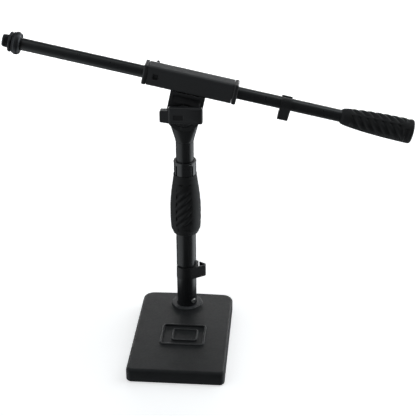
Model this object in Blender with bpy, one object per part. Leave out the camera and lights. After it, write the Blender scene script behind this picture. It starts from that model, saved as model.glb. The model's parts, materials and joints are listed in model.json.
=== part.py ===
"""Short boom microphone stand: weighted base, telescoping post, tilt joint and sliding boom.

Lengths are metres and +Z is up. +X runs along the boom towards the counterweight, +Y points to the rear,
and the origin is the centre of the base's underside.
"""

import math

import bmesh
import bpy
from mathutils import Matrix, Vector

# Fits and fineness
GAP = 0.0003
ROUND_STEPS = 28
HIDDEN_STEPS = 20
CORNER_STEPS = 5
SMOOTH_ANGLE = math.radians(32)

# Base
BASE_WIDTH = 0.120
BASE_DEPTH = 0.183
BASE_TOP = 0.0185
BASE_REAR_CORNER = 0.013
BASE_FRONT_CORNER = 0.006
BASE_EDGE = 0.0035
PAD_THICKNESS = 0.0015
PAD_INSET = 0.002
POST_Y = 0.064
BOSS_RADIUS = 0.0203
BOSS_TOP = BASE_TOP + 0.0024
SOCKET_FLOOR = 0.0135
RECESS_RADIUS = 0.013
RECESS_TOP = 0.0098
BOLT_RADIUS = 0.005
BOLT_FLATS = 0.017

# Post
POST_RADIUS = 0.0127
POST_BORE = 0.0115
POST_LOW = SOCKET_FLOOR + GAP
POST_HIGH = 0.188
PLUG_HIGH = 0.040
SET_SCREW_HEIGHT = 0.0276
SET_SCREW_BEARING = math.radians(-42)
MAST_RADIUS = 0.0111
MAST_BORE = 0.010
MAST_LOW = 0.066
MAST_HIGH = 0.2537

# Twist clutch
COLLET_RADIUS = 0.0140
COLLET_RIM_RADIUS = 0.0143
COLLET_RIM_LOW = 0.2255
COLLET_HIGH = 0.2280
COLLET_SLOTS = 4
COLLET_SLOT_WIDTH = 0.0020
GRIP_LOW = 0.1275
GRIP_HIGH = 0.2100

# Tilt joint, measured from its pivot
PIVOT_Z = 0.291
TILT = math.radians(12)
PIVOT_BOLT_RADIUS = 0.004
CHEEK_RADIUS = 0.0212
CHEEK_OUTER = 0.0106
CHEEK_INNER = 0.0072
SADDLE_LOW = 0.0161
TONGUE_RADIUS = 0.014
TONGUE_HALF = 0.0056
RECESS_IN_CHEEK = 0.0156
RECESS_FLOOR = 0.0094
TILT_LIMIT = math.radians(62)
LEVER_ANGLE = math.radians(-12)

# Clamp housing, measured from the boom's axis above the pivot
BOOM_RISE = 0.0401
HOUSING_HALF_LENGTH = 0.0577
HOUSING_HALF_DEPTH = 0.0106
HOUSING_HALF_HEIGHT = 0.0125
HOUSING_BORE = 0.0091
FLANGE_THICKNESS = 0.0054
LOCK_X = -0.042
LOCK_BOSS_REAR = 0.013
SADDLE_SCREW_X = 0.012

# Boom
BOOM_RADIUS = 0.0075
BOOM_BORE = 0.0063
BOOM_LEFT = -0.2142
BOOM_RIGHT = 0.2138
THREAD_TIP = -0.2295
THREAD_RADIUS = 0.00794
COLLAR_LEFT = -0.2180
COLLAR_RADIUS = 0.01375
COLLAR_FACE = -0.2076
WEIGHT_LEFT = 0.1851
WEIGHT_RIGHT = 0.2731

# Cable clips
POST_CLIP_LOW = 0.0630
POST_CLIP_HIGH = 0.0791
BOOM_CLIP_LEFT = 0.111
BOOM_CLIP_RIGHT = 0.1238
CLIP_BAND = 0.0020
CLIP_STRAP = 0.0018
CLIP_GAP_HALF_ANGLE = math.radians(38)

# Directions: a piece is shaped about Z, then turned to run along X or to face the front (-Y)
ALONG_X = Matrix.Rotation(math.pi / 2, 4, "Y")
FACING_FRONT = Matrix.Rotation(math.pi / 2, 4, "X")

# Finish of each material: colour, roughness, metallic
FINISHES = {
    "base_paint": ((0.030, 0.031, 0.032), 0.55, 0.2),
    "foot_rubber": ((0.020, 0.020, 0.020), 0.90, 0.0),
    "tube_paint": ((0.022, 0.023, 0.024), 0.38, 0.3),
    "black_steel": ((0.035, 0.036, 0.038), 0.35, 0.8),
    "zinc_steel": ((0.62, 0.62, 0.60), 0.32, 1.0),
    "cast_iron": ((0.10, 0.10, 0.10), 0.70, 0.9),
    "gloss_black": ((0.012, 0.012, 0.013), 0.15, 0.3),
    "moulded_black": ((0.028, 0.028, 0.030), 0.50, 0.0),
    "soft_grip": ((0.022, 0.022, 0.023), 0.75, 0.0),
    "clip_plastic": ((0.024, 0.024, 0.026), 0.45, 0.0),
    "nylon": ((0.72, 0.71, 0.66), 0.50, 0.0),
    "brass": ((0.78, 0.58, 0.26), 0.30, 1.0),
}


# ---------------------------------------------------------------- scene

def clear_scene():
    for obj in list(bpy.data.objects):
        bpy.data.objects.remove(obj, do_unlink=True)


def finish_material(slot):
    found = bpy.data.materials.get(slot)
    if found:
        return found
    colour, roughness, metallic = FINISHES[slot]
    made = bpy.data.materials.new(slot)
    made.use_nodes = True
    shader = made.node_tree.nodes["Principled BSDF"]
    shader.inputs["Base Color"].default_value = (*colour, 1.0)
    shader.inputs["Roughness"].default_value = roughness
    shader.inputs["Metallic"].default_value = metallic
    return made


def empty(name, location, tilt=0.0, parent=None):
    made = bpy.data.objects.new(name, None)
    made.location = location
    made.rotation_euler = (0.0, tilt, 0.0)
    made.parent = parent
    bpy.context.scene.collection.objects.link(made)
    return made


def place(name, bm, slot, frame, turn=None, location=(0.0, 0.0, 0.0), spin=0.0):
    """Turns a bmesh into a named object that sits in a frame."""
    if turn is not None:
        bm.transform(turn)
    bmesh.ops.recalc_face_normals(bm, faces=bm.faces)
    if bm.calc_volume(signed=True) < 0.0:
        bmesh.ops.reverse_faces(bm, faces=bm.faces)
    mesh = bpy.data.meshes.new(name)
    bm.to_mesh(mesh)
    bm.free()
    mesh.shade_smooth()
    mesh.set_sharp_from_angle(angle=SMOOTH_ANGLE)
    obj = bpy.data.objects.new(name, mesh)
    obj.parent = frame
    obj.location = location
    obj.rotation_euler = (0.0, spin, 0.0)
    bpy.context.scene.collection.objects.link(obj)
    if slot:
        mesh.materials.append(finish_material(slot))
    return obj


def combine(target, operation, name, bm, turn=None, location=(0.0, 0.0, 0.0)):
    """Adds a Boolean to the target, with a wire tool that moves with it."""
    tool = place(name, bm, None, target.parent, turn, location, target.rotation_euler.y)
    tool.hide_render = True
    tool.display_type = "WIRE"
    modifier = target.modifiers.new(name, "BOOLEAN")
    modifier.operation = operation
    modifier.solver = "EXACT"
    modifier.object = tool


def cut(target, name, bm, turn=None, location=(0.0, 0.0, 0.0)):
    combine(target, "DIFFERENCE", name, bm, turn, location)


def add(target, name, bm, turn=None, location=(0.0, 0.0, 0.0)):
    combine(target, "UNION", name, bm, turn, location)


# ---------------------------------------------------------------- shapes

def turned(profile, steps=ROUND_STEPS):
    """Turns (radius, height) points about Z. A profile that ends on the axis is left open there."""
    bm = bmesh.new()
    points = [bm.verts.new((radius, 0.0, height)) for radius, height in profile]
    for first, second in zip(points, points[1:]):
        bm.edges.new((first, second))
    if profile[0][0] > 0.0 or profile[-1][0] > 0.0:
        bm.edges.new((points[-1], points[0]))
    bmesh.ops.spin(
        bm,
        geom=list(bm.verts) + list(bm.edges),
        cent=(0.0, 0.0, 0.0),
        axis=(0.0, 0.0, 1.0),
        angle=math.tau,
        steps=steps,
        use_merge=True,
    )
    bmesh.ops.remove_doubles(bm, verts=bm.verts, dist=1e-6)
    return bm


def rod(radius, low, high, steps=ROUND_STEPS):
    return turned([(0.0, low), (radius, low), (radius, high), (0.0, high)], steps)


def ring(inner, outer, low, high, steps=ROUND_STEPS):
    return turned([(inner, low), (outer, low), (outer, high), (inner, high)], steps)


def prism(outline, low, high):
    """Extrudes an outline of (x, y) points from one height to another."""
    bm = bmesh.new()
    base = bm.faces.new([bm.verts.new((x, y, low)) for x, y in outline])
    grown = bmesh.ops.extrude_face_region(bm, geom=[base])
    raised = [item for item in grown["geom"] if isinstance(item, bmesh.types.BMVert)]
    bmesh.ops.translate(bm, verts=raised, vec=(0.0, 0.0, high - low))
    return bm


def block(low, high, bevel=0.0, bevel_steps=2):
    """A box between two corners, with an optional rounding of every edge."""
    bm = bmesh.new()
    bmesh.ops.create_cube(bm, size=1.0)
    low = Vector(low)
    high = Vector(high)
    bm.transform(Matrix.Translation((low + high) / 2) @ Matrix.Diagonal((*(high - low), 1.0)))
    if bevel:
        bmesh.ops.bevel(bm, geom=bm.edges[:], offset=bevel, segments=bevel_steps, profile=0.5, affect="EDGES")
    return bm


def loft(rings):
    """Skins a stack of rings that have the same number of points."""
    bm = bmesh.new()
    levels = [[bm.verts.new(point) for point in points] for points in rings]
    for lower, upper in zip(levels, levels[1:]):
        for here in range(len(lower)):
            after = (here + 1) % len(lower)
            bm.faces.new((lower[here], lower[after], upper[after], upper[here]))
    bm.faces.new(levels[0])
    bm.faces.new(levels[-1])
    return bm


def arc(centre, radius, start, end, steps):
    """Points along an arc, both ends included."""
    angles = [start + (end - start) * step / steps for step in range(steps + 1)]
    return [(centre[0] + radius * math.cos(a), centre[1] + radius * math.sin(a)) for a in angles]


def base_outline(inset):
    """The base's outline about its own middle, shrunk by an inset. Its rear corners are rounder."""
    outline = []
    for quarter, (sx, sy) in enumerate(((1, 1), (-1, 1), (-1, -1), (1, -1))):
        corner = BASE_REAR_CORNER if sy > 0 else BASE_FRONT_CORNER
        start = quarter * math.pi / 2
        centre = (sx * (BASE_WIDTH / 2 - corner), sy * (BASE_DEPTH / 2 - corner))
        outline += arc(centre, corner - inset, start, start + math.pi / 2, CORNER_STEPS)
    return outline


def hexagon(across_flats):
    return arc((0.0, 0.0), across_flats / math.sqrt(3), 0.0, math.tau * 5 / 6, 5)


def superellipse(half_width, half_depth, power, height, steps=ROUND_STEPS):
    points = []
    for step in range(steps):
        angle = math.tau * step / steps
        x = math.copysign(abs(math.cos(angle)) ** (2 / power), math.cos(angle))
        y = math.copysign(abs(math.sin(angle)) ** (2 / power), math.sin(angle))
        points.append((half_width * x, half_depth * y, height))
    return points


def hex_bolt(name, slot, frame, flats, head_low, head_high, shank_radius, shank_end, turn=None):
    bolt = place(name, prism(hexagon(flats), head_low, head_high), slot, frame, turn)
    overlap = (head_low + head_high) / 2
    low, high = sorted((overlap, shank_end))
    add(bolt, name + "_shank", rod(shank_radius, low, high, 20), turn)
    return bolt


# ---------------------------------------------------------------- base

def base_casting(post):
    slab = prism(base_outline(0.0), PAD_THICKNESS + GAP, BASE_TOP)
    rim = [edge for edge in slab.edges if all(vert.co.z > BASE_TOP - 0.001 for vert in edge.verts)]
    bmesh.ops.bevel(slab, geom=rim, offset=BASE_EDGE, segments=3, profile=0.5, affect="EDGES")
    slab.transform(Matrix.Translation((0.0, -POST_Y, 0.0)))
    casting = place("base_casting", slab, "base_paint", post)
    boss = turned([
        (0.0, BASE_TOP - 0.002),
        (BOSS_RADIUS, BASE_TOP - 0.002),
        (BOSS_RADIUS, BASE_TOP + 0.0006),
        (BOSS_RADIUS - 0.0010, BASE_TOP + 0.0018),
        (BOSS_RADIUS - 0.0028, BOSS_TOP),
        (0.0, BOSS_TOP),
    ])
    add(casting, "post_boss", boss)
    socket = POST_RADIUS + GAP
    stepped_hole = turned([
        (0.0, -0.001),
        (RECESS_RADIUS, -0.001),
        (RECESS_RADIUS, RECESS_TOP),
        (BOLT_RADIUS + GAP, RECESS_TOP),
        (BOLT_RADIUS + GAP, SOCKET_FLOOR),
        (socket, SOCKET_FLOOR),
        (socket, BOSS_TOP + 0.001),
        (0.0, BOSS_TOP + 0.001),
    ])
    cut(casting, "post_socket", stepped_hole)


def base_pad(post):
    sheet = prism(base_outline(PAD_INSET), 0.0, PAD_THICKNESS)
    sheet.transform(Matrix.Translation((0.0, -POST_Y, 0.0)))
    pad = place("base_pad", sheet, "foot_rubber", post)
    cut(pad, "bolt_access", rod(RECESS_RADIUS, -0.001, PAD_THICKNESS + 0.001))


def base_fasteners(post):
    head_low = 0.0018
    head_high = 0.0076
    hex_bolt("base_bolt", "zinc_steel", post, BOLT_FLATS, head_low, head_high, BOLT_RADIUS, 0.034)
    washer = ring(BOLT_RADIUS + GAP, 0.0105, head_high + GAP, RECESS_TOP - GAP, HIDDEN_STEPS)
    place("bolt_washer", washer, "zinc_steel", post)


# ---------------------------------------------------------------- post

def set_screw_turn():
    return Matrix.Rotation(SET_SCREW_BEARING, 4, "Z") @ ALONG_X


def post_foot_plug(post):
    body = ring(BOLT_RADIUS + GAP, POST_BORE - GAP, POST_LOW, PLUG_HIGH, HIDDEN_STEPS)
    plug = place("post_foot_plug", body, "cast_iron", post)
    hole = rod(0.0026, 0.004, 0.014, 16)
    cut(plug, "plug_cross_hole", hole, set_screw_turn(), (0.0, 0.0, SET_SCREW_HEIGHT))


def lower_tube(post):
    tube = place("lower_tube", ring(POST_BORE, POST_RADIUS, POST_LOW, POST_HIGH), "tube_paint", post)
    hole = rod(0.0033, 0.009, 0.014, 20)
    cut(tube, "tube_cross_hole", hole, set_screw_turn(), (0.0, 0.0, SET_SCREW_HEIGHT))


def post_set_screw(post):
    screw = turned([
        (0.0, 0.0065),
        (0.0023, 0.0065),
        (0.0023, 0.0117),
        (0.0030, 0.0117),
        (0.0030, 0.0131),
        (0.0022, 0.0137),
        (0.0, 0.0137),
    ], 16)
    place("post_set_screw", screw, "zinc_steel", post, set_screw_turn(), (0.0, 0.0, SET_SCREW_HEIGHT))


def mast_bush(post):
    head = POST_BORE - GAP
    spigot = MAST_BORE - GAP
    bore = 0.006
    bush = turned([
        (bore, MAST_LOW - 0.008),
        (head, MAST_LOW - 0.008),
        (head, MAST_LOW - GAP),
        (spigot, MAST_LOW - GAP),
        (spigot, MAST_LOW + 0.014),
        (bore, MAST_LOW + 0.014),
    ], HIDDEN_STEPS)
    place("mast_bush", bush, "nylon", post)


def upper_tube(post):
    place("upper_tube", ring(MAST_BORE, MAST_RADIUS, MAST_LOW, MAST_HIGH), "tube_paint", post)


# ---------------------------------------------------------------- twist clutch

def clutch_body(post):
    sleeve = ring(POST_RADIUS + GAP, 0.0146, 0.150, POST_HIGH - GAP, HIDDEN_STEPS)
    place("clutch_body", sleeve, "black_steel", post)


def clutch_nut(post):
    nut = turned([
        (0.0149, 0.146),
        (0.0164, 0.146),
        (0.0164, 0.191),
        (0.0156, 0.198),
        (COLLET_RADIUS + GAP, 0.198),
        (COLLET_RADIUS + GAP, 0.1885),
        (0.0149, 0.1879),
    ], HIDDEN_STEPS)
    place("clutch_nut", nut, "moulded_black", post)


def clutch_collet(post):
    bore = MAST_RADIUS + GAP
    body = turned([
        (bore, POST_HIGH + GAP),
        (COLLET_RADIUS, POST_HIGH + GAP),
        (COLLET_RADIUS, COLLET_RIM_LOW),
        (COLLET_RIM_RADIUS, COLLET_RIM_LOW + 0.0003),
        (COLLET_RIM_RADIUS, COLLET_HIGH - 0.0005),
        (COLLET_RIM_RADIUS - 0.0005, COLLET_HIGH),
        (bore, COLLET_HIGH),
    ])
    collet = place("clutch_collet", body, "gloss_black", post)
    for number in range(COLLET_SLOTS // 2):
        half = COLLET_SLOT_WIDTH / 2
        slot = block((-0.020, -half, POST_HIGH - 0.002), (0.020, half, COLLET_RIM_LOW - 0.0020))
        bearing = math.tau * (number + 0.5) / COLLET_SLOTS
        cut(collet, f"collet_slot_{number + 1}", slot, Matrix.Rotation(bearing, 4, "Z"))


def clutch_grip(post):
    collar_bore = COLLET_RADIUS + GAP
    grip = turned([
        (POST_RADIUS + GAP, GRIP_LOW),
        (0.0148, GRIP_LOW),
        (0.0162, GRIP_LOW + 0.0010),
        (0.0169, GRIP_LOW + 0.0030),
        (0.0175, GRIP_LOW + 0.0055),
        (0.0186, GRIP_LOW + 0.0070),
        (0.0192, 0.142),
        (0.0195, 0.151),
        (0.0195, 0.164),
        (0.0191, 0.172),
        (0.0185, 0.179),
        (0.0178, 0.186),
        (0.0168, 0.193),
        (0.0157, 0.200),
        (0.0153, 0.204),
        (0.01475, 0.2062),
        (0.01475, GRIP_HIGH - 0.0005),
        (0.0146, GRIP_HIGH),
        (collar_bore, GRIP_HIGH),
        (collar_bore, 0.1984),
        (0.0160, 0.1984),
        (0.0167, 0.1912),
        (0.0167, 0.1457),
        (POST_RADIUS + GAP, 0.1457),
    ])
    place("clutch_grip", grip, "soft_grip", post)


# ---------------------------------------------------------------- yoke on the mast

def yoke(post):
    spigot = MAST_BORE - GAP
    collar = 0.0113
    seat = MAST_HIGH + GAP
    levels = [
        (spigot, spigot, 2.0, 0.236),
        (spigot, spigot, 2.0, seat),
        (collar, collar, 2.0, seat),
        (0.0120, 0.0112, 2.1, 0.257),
        (0.0130, 0.0110, 2.3, 0.261),
        (0.0145, 0.0108, 2.5, 0.2662),
        (0.0160, 0.0106, 2.8, 0.2716),
        (0.0172, 0.0106, 3.1, 0.2765),
        (0.0178, 0.0106, 3.2, 0.281),
    ]
    neck = place("yoke", loft([superellipse(*level) for level in levels]), "moulded_black", post)
    pivot = (0.0, 0.0, PIVOT_Z)

    half_web = 0.0132
    shoulder = math.acos(half_web / TONGUE_RADIUS)
    tongue = arc((0.0, 0.0), TONGUE_RADIUS, -shoulder, math.pi + shoulder, 20)
    tongue += [(-half_web, -0.022), (half_web, -0.022)]
    add(neck, "yoke_tongue", prism(tongue, -0.008, 0.008), FACING_FRONT, pivot)
    for side in (-1, 1):
        near, far = sorted((side * TONGUE_HALF, side * 0.014))
        label = "front" if side > 0 else "rear"
        cut(neck, f"cheek_clearance_{label}", prism(cheek_sweep(), near, far), FACING_FRONT, pivot)
    cut(neck, "yoke_pivot_hole", rod(PIVOT_BOLT_RADIUS + GAP, -0.03, 0.03, 24), FACING_FRONT, pivot)


def cheek_sweep():
    """Outline of the room that the head's cheeks need as they tilt to both limits."""
    radius = CHEEK_RADIUS + 0.0004
    reach = 0.032
    touch = math.pi / 2 - TILT_LIMIT
    outline = arc((0.0, 0.0), radius, -math.pi / 2 - touch, -math.pi / 2 + touch, 14)
    edge_x = radius * math.sin(touch) + reach * math.cos(touch)
    edge_y = -radius * math.cos(touch) + reach * math.sin(touch)
    return outline + [(edge_x, edge_y), (edge_x, reach), (-edge_x, reach), (-edge_x, edge_y)]


# ---------------------------------------------------------------- tilting head

def tilt_head(pivot):
    top = BOOM_RISE - HOUSING_HALF_HEIGHT - GAP
    outline = arc((0.0, 0.0), CHEEK_RADIUS, math.pi, math.tau, 20)
    outline += [(CHEEK_RADIUS, top), (-CHEEK_RADIUS, top)]
    head = place("tilt_head", prism(outline, -CHEEK_OUTER, CHEEK_OUTER), "moulded_black", pivot, FACING_FRONT)
    throat = block((-0.023, -CHEEK_INNER, -0.023), (0.023, CHEEK_INNER, SADDLE_LOW))
    cut(head, "tongue_slot", throat)
    cut(head, "head_pivot_hole", rod(PIVOT_BOLT_RADIUS + GAP, -0.02, 0.02, 24), FACING_FRONT)
    cut(head, "washer_recess", rod(RECESS_IN_CHEEK, RECESS_FLOOR, CHEEK_OUTER + 0.001), FACING_FRONT)
    scoop_radius = 0.008
    for side in (-1, 1):
        scoop = rod(scoop_radius, -0.015, 0.016)
        label = "front" if side < 0 else "rear"
        cut(head, f"scoop_{label}", scoop, ALONG_X, (0.0, side * (CHEEK_OUTER + 0.006), 0.022))
    for side in (-1, 1):
        label = "left" if side < 0 else "right"
        hole = rod(0.0023, SADDLE_LOW - 0.001, top + 0.001, 16)
        cut(head, f"saddle_hole_{label}", hole, None, (side * SADDLE_SCREW_X, 0.0, 0.0))


def saddle_screws(pivot):
    for side in (-1, 1):
        label = "left" if side < 0 else "right"
        screw = turned([
            (0.0, SADDLE_LOW - 0.0031),
            (0.0026, SADDLE_LOW - 0.0031),
            (0.0034, SADDLE_LOW - 0.0022),
            (0.0034, SADDLE_LOW - GAP),
            (0.0020, SADDLE_LOW - GAP),
            (0.0020, 0.0295),
            (0.0, 0.0295),
        ], 16)
        place(f"saddle_screw_{label}", screw, "zinc_steel", pivot, None, (side * SADDLE_SCREW_X, 0.0, 0.0))


def pivot_hardware(pivot):
    bore = PIVOT_BOLT_RADIUS + GAP
    rear = -CHEEK_OUTER
    hex_bolt("tilt_bolt", "zinc_steel", pivot, 0.013, rear - 0.0068, rear - 0.0018, PIVOT_BOLT_RADIUS, 0.0195,
             FACING_FRONT)
    rear_washer = ring(bore, 0.0082, rear - 0.0015, rear - GAP, HIDDEN_STEPS)
    place("tilt_bolt_washer", rear_washer, "zinc_steel", pivot, FACING_FRONT)
    for side in (-1, 1):
        label = "front" if side > 0 else "rear"
        near, far = sorted((side * (TONGUE_HALF + GAP), side * (CHEEK_INNER - GAP)))
        washer = ring(bore, 0.013, near, far, HIDDEN_STEPS)
        place(f"friction_washer_{label}", washer, "nylon", pivot, FACING_FRONT)
    lever_washer = ring(bore, 0.012, RECESS_FLOOR + GAP, 0.0109, HIDDEN_STEPS)
    place("lever_washer", lever_washer, "zinc_steel", pivot, FACING_FRONT)


def tilt_lever(pivot):
    hub_front = 0.0136
    body_back = hub_front - 0.0004
    body = block((-0.0175, -0.0074, body_back), (0.024, 0.0094, 0.0212), 0.0024)
    lever = place("tilt_lever", body, "moulded_black", pivot, FACING_FRONT, spin=LEVER_ANGLE)
    arm = [(-0.028, -0.0038), (-0.0262, -0.0058), (-0.013, -0.0076), (-0.013, 0.0091), (-0.0262, 0.0091),
           (-0.028, 0.0073)]
    add(lever, "lever_arm", prism(arm, 0.0114, 0.0198), FACING_FRONT)
    add(lever, "lever_hub", rod(0.0135, 0.0112, hub_front), FACING_FRONT)
    cut(lever, "lever_bore", rod(PIVOT_BOLT_RADIUS + GAP, 0.010, 0.020, 24), FACING_FRONT)
    cut(lever, "lever_nut_pocket", prism(hexagon(0.0137), 0.0137, 0.0188), FACING_FRONT)
    nut_body = prism(hexagon(0.013), 0.0140, 0.0185)
    nut = place("lever_nut", nut_body, "brass", pivot, FACING_FRONT, spin=LEVER_ANGLE)
    cut(nut, "lever_nut_bore", rod(PIVOT_BOLT_RADIUS + GAP, 0.012, 0.020, 24), FACING_FRONT)


# ---------------------------------------------------------------- clamp housing and its lock

def clamp_housing(boom):
    left = -HOUSING_HALF_LENGTH + FLANGE_THICKNESS + GAP
    right = -left
    depth = HOUSING_HALF_DEPTH
    height = HOUSING_HALF_HEIGHT
    shell = block((left, -depth, -height), (right, depth, height))
    long_edges = [edge for edge in shell.edges if abs((edge.verts[0].co - edge.verts[1].co).x) > depth]
    bmesh.ops.bevel(shell, geom=long_edges, offset=0.0024, segments=3, profile=0.5, affect="EDGES")
    housing = place("clamp_housing", shell, "moulded_black", boom)
    lock = (LOCK_X, 0.0, 0.0)
    add(housing, "lock_boss", rod(0.008, -LOCK_BOSS_REAR, -0.0095, 28), FACING_FRONT, lock)
    cut(housing, "housing_bore", rod(HOUSING_BORE, left - 0.001, right + 0.001), ALONG_X)
    window = block((-0.0035, -0.0035, 0.006), (0.0035, 0.0035, 0.012))
    cut(housing, "pad_window", window, FACING_FRONT, lock)
    cut(housing, "insert_hole", rod(0.005 + GAP, -0.014, -0.006, 24), FACING_FRONT, lock)
    for side in (-1, 1):
        label = "left" if side < 0 else "right"
        hole = rod(0.0023, -height - 0.001, -0.006, 16)
        cut(housing, f"housing_hole_{label}", hole, None, (side * SADDLE_SCREW_X, 0.0, 0.0))


def end_bush(boom, label, side, sleeve_end):
    outer = side * HOUSING_HALF_LENGTH
    inner = side * (HOUSING_HALF_LENGTH - FLANGE_THICKNESS)
    low, high = sorted((outer, inner))
    depth = HOUSING_HALF_DEPTH + 0.0006
    height = HOUSING_HALF_HEIGHT
    flange = block((low, -depth, -height), (high, depth, height), 0.0018)
    bush = place(f"end_bush_{label}", flange, "moulded_black", boom)
    sleeve_low, sleeve_high = sorted((inner + side * 0.001, sleeve_end))
    add(bush, f"bush_sleeve_{label}", rod(HOUSING_BORE - GAP, sleeve_low, sleeve_high), ALONG_X)
    bore = rod(BOOM_RADIUS + GAP, min(low, sleeve_low) - 0.001, max(high, sleeve_high) + 0.001)
    cut(bush, f"bush_bore_{label}", bore, ALONG_X)


def boom_liner(boom):
    liner = ring(BOOM_RADIUS + GAP, HOUSING_BORE - GAP, -0.035, 0.0315, HIDDEN_STEPS)
    place("boom_liner", liner, "nylon", boom, ALONG_X)


def boom_lock(boom):
    lock = (LOCK_X, 0.0, 0.0)
    touch = BOOM_RADIUS + 0.00035
    pad = block((-0.0032, -0.0032, touch), (0.0032, 0.0032, 0.0094))
    place("anvil_pad", pad, "moulded_black", boom, FACING_FRONT, lock)
    place("clamp_shoe", rod(0.0032, -0.0092, -touch, 24), "nylon", boom, FACING_FRONT, lock)
    insert = ring(0.0033, 0.005, -LOCK_BOSS_REAR, -0.0095, 24)
    place("thread_insert", insert, "brass", boom, FACING_FRONT, lock)
    place("lock_stud", rod(0.0030, -0.0240, -0.0095, 24), "zinc_steel", boom, FACING_FRONT, lock)


def wing_knob(boom):
    lock = (LOCK_X, 0.0, 0.0)
    hub = turned([
        (0.0, -0.0255),
        (0.0055, -0.0255),
        (0.0065, -0.0245),
        (0.0065, -LOCK_BOSS_REAR - GAP),
        (0.0, -LOCK_BOSS_REAR - GAP),
    ], 24)
    knob = place("wing_knob", hub, "moulded_black", boom, FACING_FRONT, lock, -TILT)
    half_width = 0.00275
    reach = 0.0108 - half_width
    wing = arc((0.0, reach), half_width, 0.0, math.pi, 8)
    wing += arc((0.0, -reach), half_width, math.pi, math.tau, 8)
    add(knob, "wing_bar", prism(wing, -0.0242, -0.0160), FACING_FRONT, lock)
    cut(knob, "knob_bore", rod(0.0033, -0.0243, -0.012, 24), FACING_FRONT, lock)


# ---------------------------------------------------------------- boom

def boom_tube(boom):
    place("boom_tube", ring(BOOM_BORE, BOOM_RADIUS, BOOM_LEFT, BOOM_RIGHT), "tube_paint", boom, ALONG_X)


def boom_end_plug(boom):
    spigot = BOOM_BORE - GAP
    stud = 0.0047
    plug = turned([
        (0.0, THREAD_TIP + 0.0015),
        (stud - 0.0006, THREAD_TIP + 0.0015),
        (stud, THREAD_TIP + 0.0022),
        (stud, BOOM_LEFT + 0.002),
        (spigot, BOOM_LEFT + 0.002),
        (spigot, BOOM_LEFT + 0.020),
        (0.0, BOOM_LEFT + 0.020),
    ], HIDDEN_STEPS)
    place("boom_end_plug", plug, "zinc_steel", boom, ALONG_X)


def thread_adapter(boom):
    stud_bore = 0.005
    groove_radius = 0.0096
    ring_radius = 0.0126
    groove_right = COLLAR_LEFT + 0.0011
    adapter = turned([
        (stud_bore, THREAD_TIP),
        (THREAD_RADIUS - 0.0007, THREAD_TIP),
        (THREAD_RADIUS, THREAD_TIP + 0.0008),
        (THREAD_RADIUS, COLLAR_LEFT),
        (groove_radius, COLLAR_LEFT),
        (groove_radius, groove_right),
        (ring_radius, groove_right),
        (ring_radius, groove_right + 0.0018),
        (COLLAR_RADIUS, groove_right + 0.0028),
        (COLLAR_RADIUS, COLLAR_FACE - 0.0034),
        (COLLAR_RADIUS - 0.0006, COLLAR_FACE - 0.0016),
        (COLLAR_RADIUS - 0.0021, COLLAR_FACE),
        (BOOM_RADIUS + GAP, COLLAR_FACE),
        (BOOM_RADIUS + GAP, BOOM_LEFT - GAP),
        (stud_bore, BOOM_LEFT - GAP),
    ])
    place("thread_adapter", adapter, "black_steel", boom, ALONG_X)


def lock_ring(boom):
    outer = 0.0122
    left = COLLAR_LEFT - 0.0035
    right = COLLAR_LEFT - GAP
    body = turned([
        (THREAD_RADIUS + GAP, left),
        (outer - 0.0005, left),
        (outer, left + 0.0005),
        (outer, right - 0.0005),
        (outer - 0.0005, right),
        (THREAD_RADIUS + GAP, right),
    ])
    place("lock_ring", body, "black_steel", boom, ALONG_X)


def counterweight_core(boom):
    spigot = BOOM_BORE - GAP
    core = turned([
        (0.0, BOOM_RIGHT - 0.018),
        (spigot, BOOM_RIGHT - 0.018),
        (spigot, BOOM_RIGHT + GAP),
        (0.0104, BOOM_RIGHT + GAP),
        (0.0120, BOOM_RIGHT + 0.040),
        (0.0120, WEIGHT_RIGHT - 0.0049),
        (0.0, WEIGHT_RIGHT - 0.0049),
    ], HIDDEN_STEPS)
    place("counterweight_core", core, "cast_iron", boom, ALONG_X)


def counterweight_grip(boom):
    bore = BOOM_RADIUS + GAP
    cavity_left = BOOM_RIGHT - 0.0003
    skin = turned([
        (bore, WEIGHT_LEFT),
        (0.0086, WEIGHT_LEFT),
        (0.0099, WEIGHT_LEFT + 0.0034),
        (0.0113, WEIGHT_LEFT + 0.0124),
        (0.0129, WEIGHT_LEFT + 0.029),
        (0.0140, WEIGHT_LEFT + 0.048),
        (0.0145, WEIGHT_LEFT + 0.064),
        (0.0148, WEIGHT_RIGHT - 0.006),
        (0.0143, WEIGHT_RIGHT - 0.0022),
        (0.0122, WEIGHT_RIGHT),
        (0.0, WEIGHT_RIGHT),
        (0.0, WEIGHT_RIGHT - 0.0045),
        (0.0124, WEIGHT_RIGHT - 0.0045),
        (0.0124, BOOM_RIGHT + 0.040),
        (0.0108, cavity_left),
        (bore, cavity_left),
    ])
    place("counterweight_grip", skin, "soft_grip", boom, ALONG_X)


# ---------------------------------------------------------------- cable clips

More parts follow.
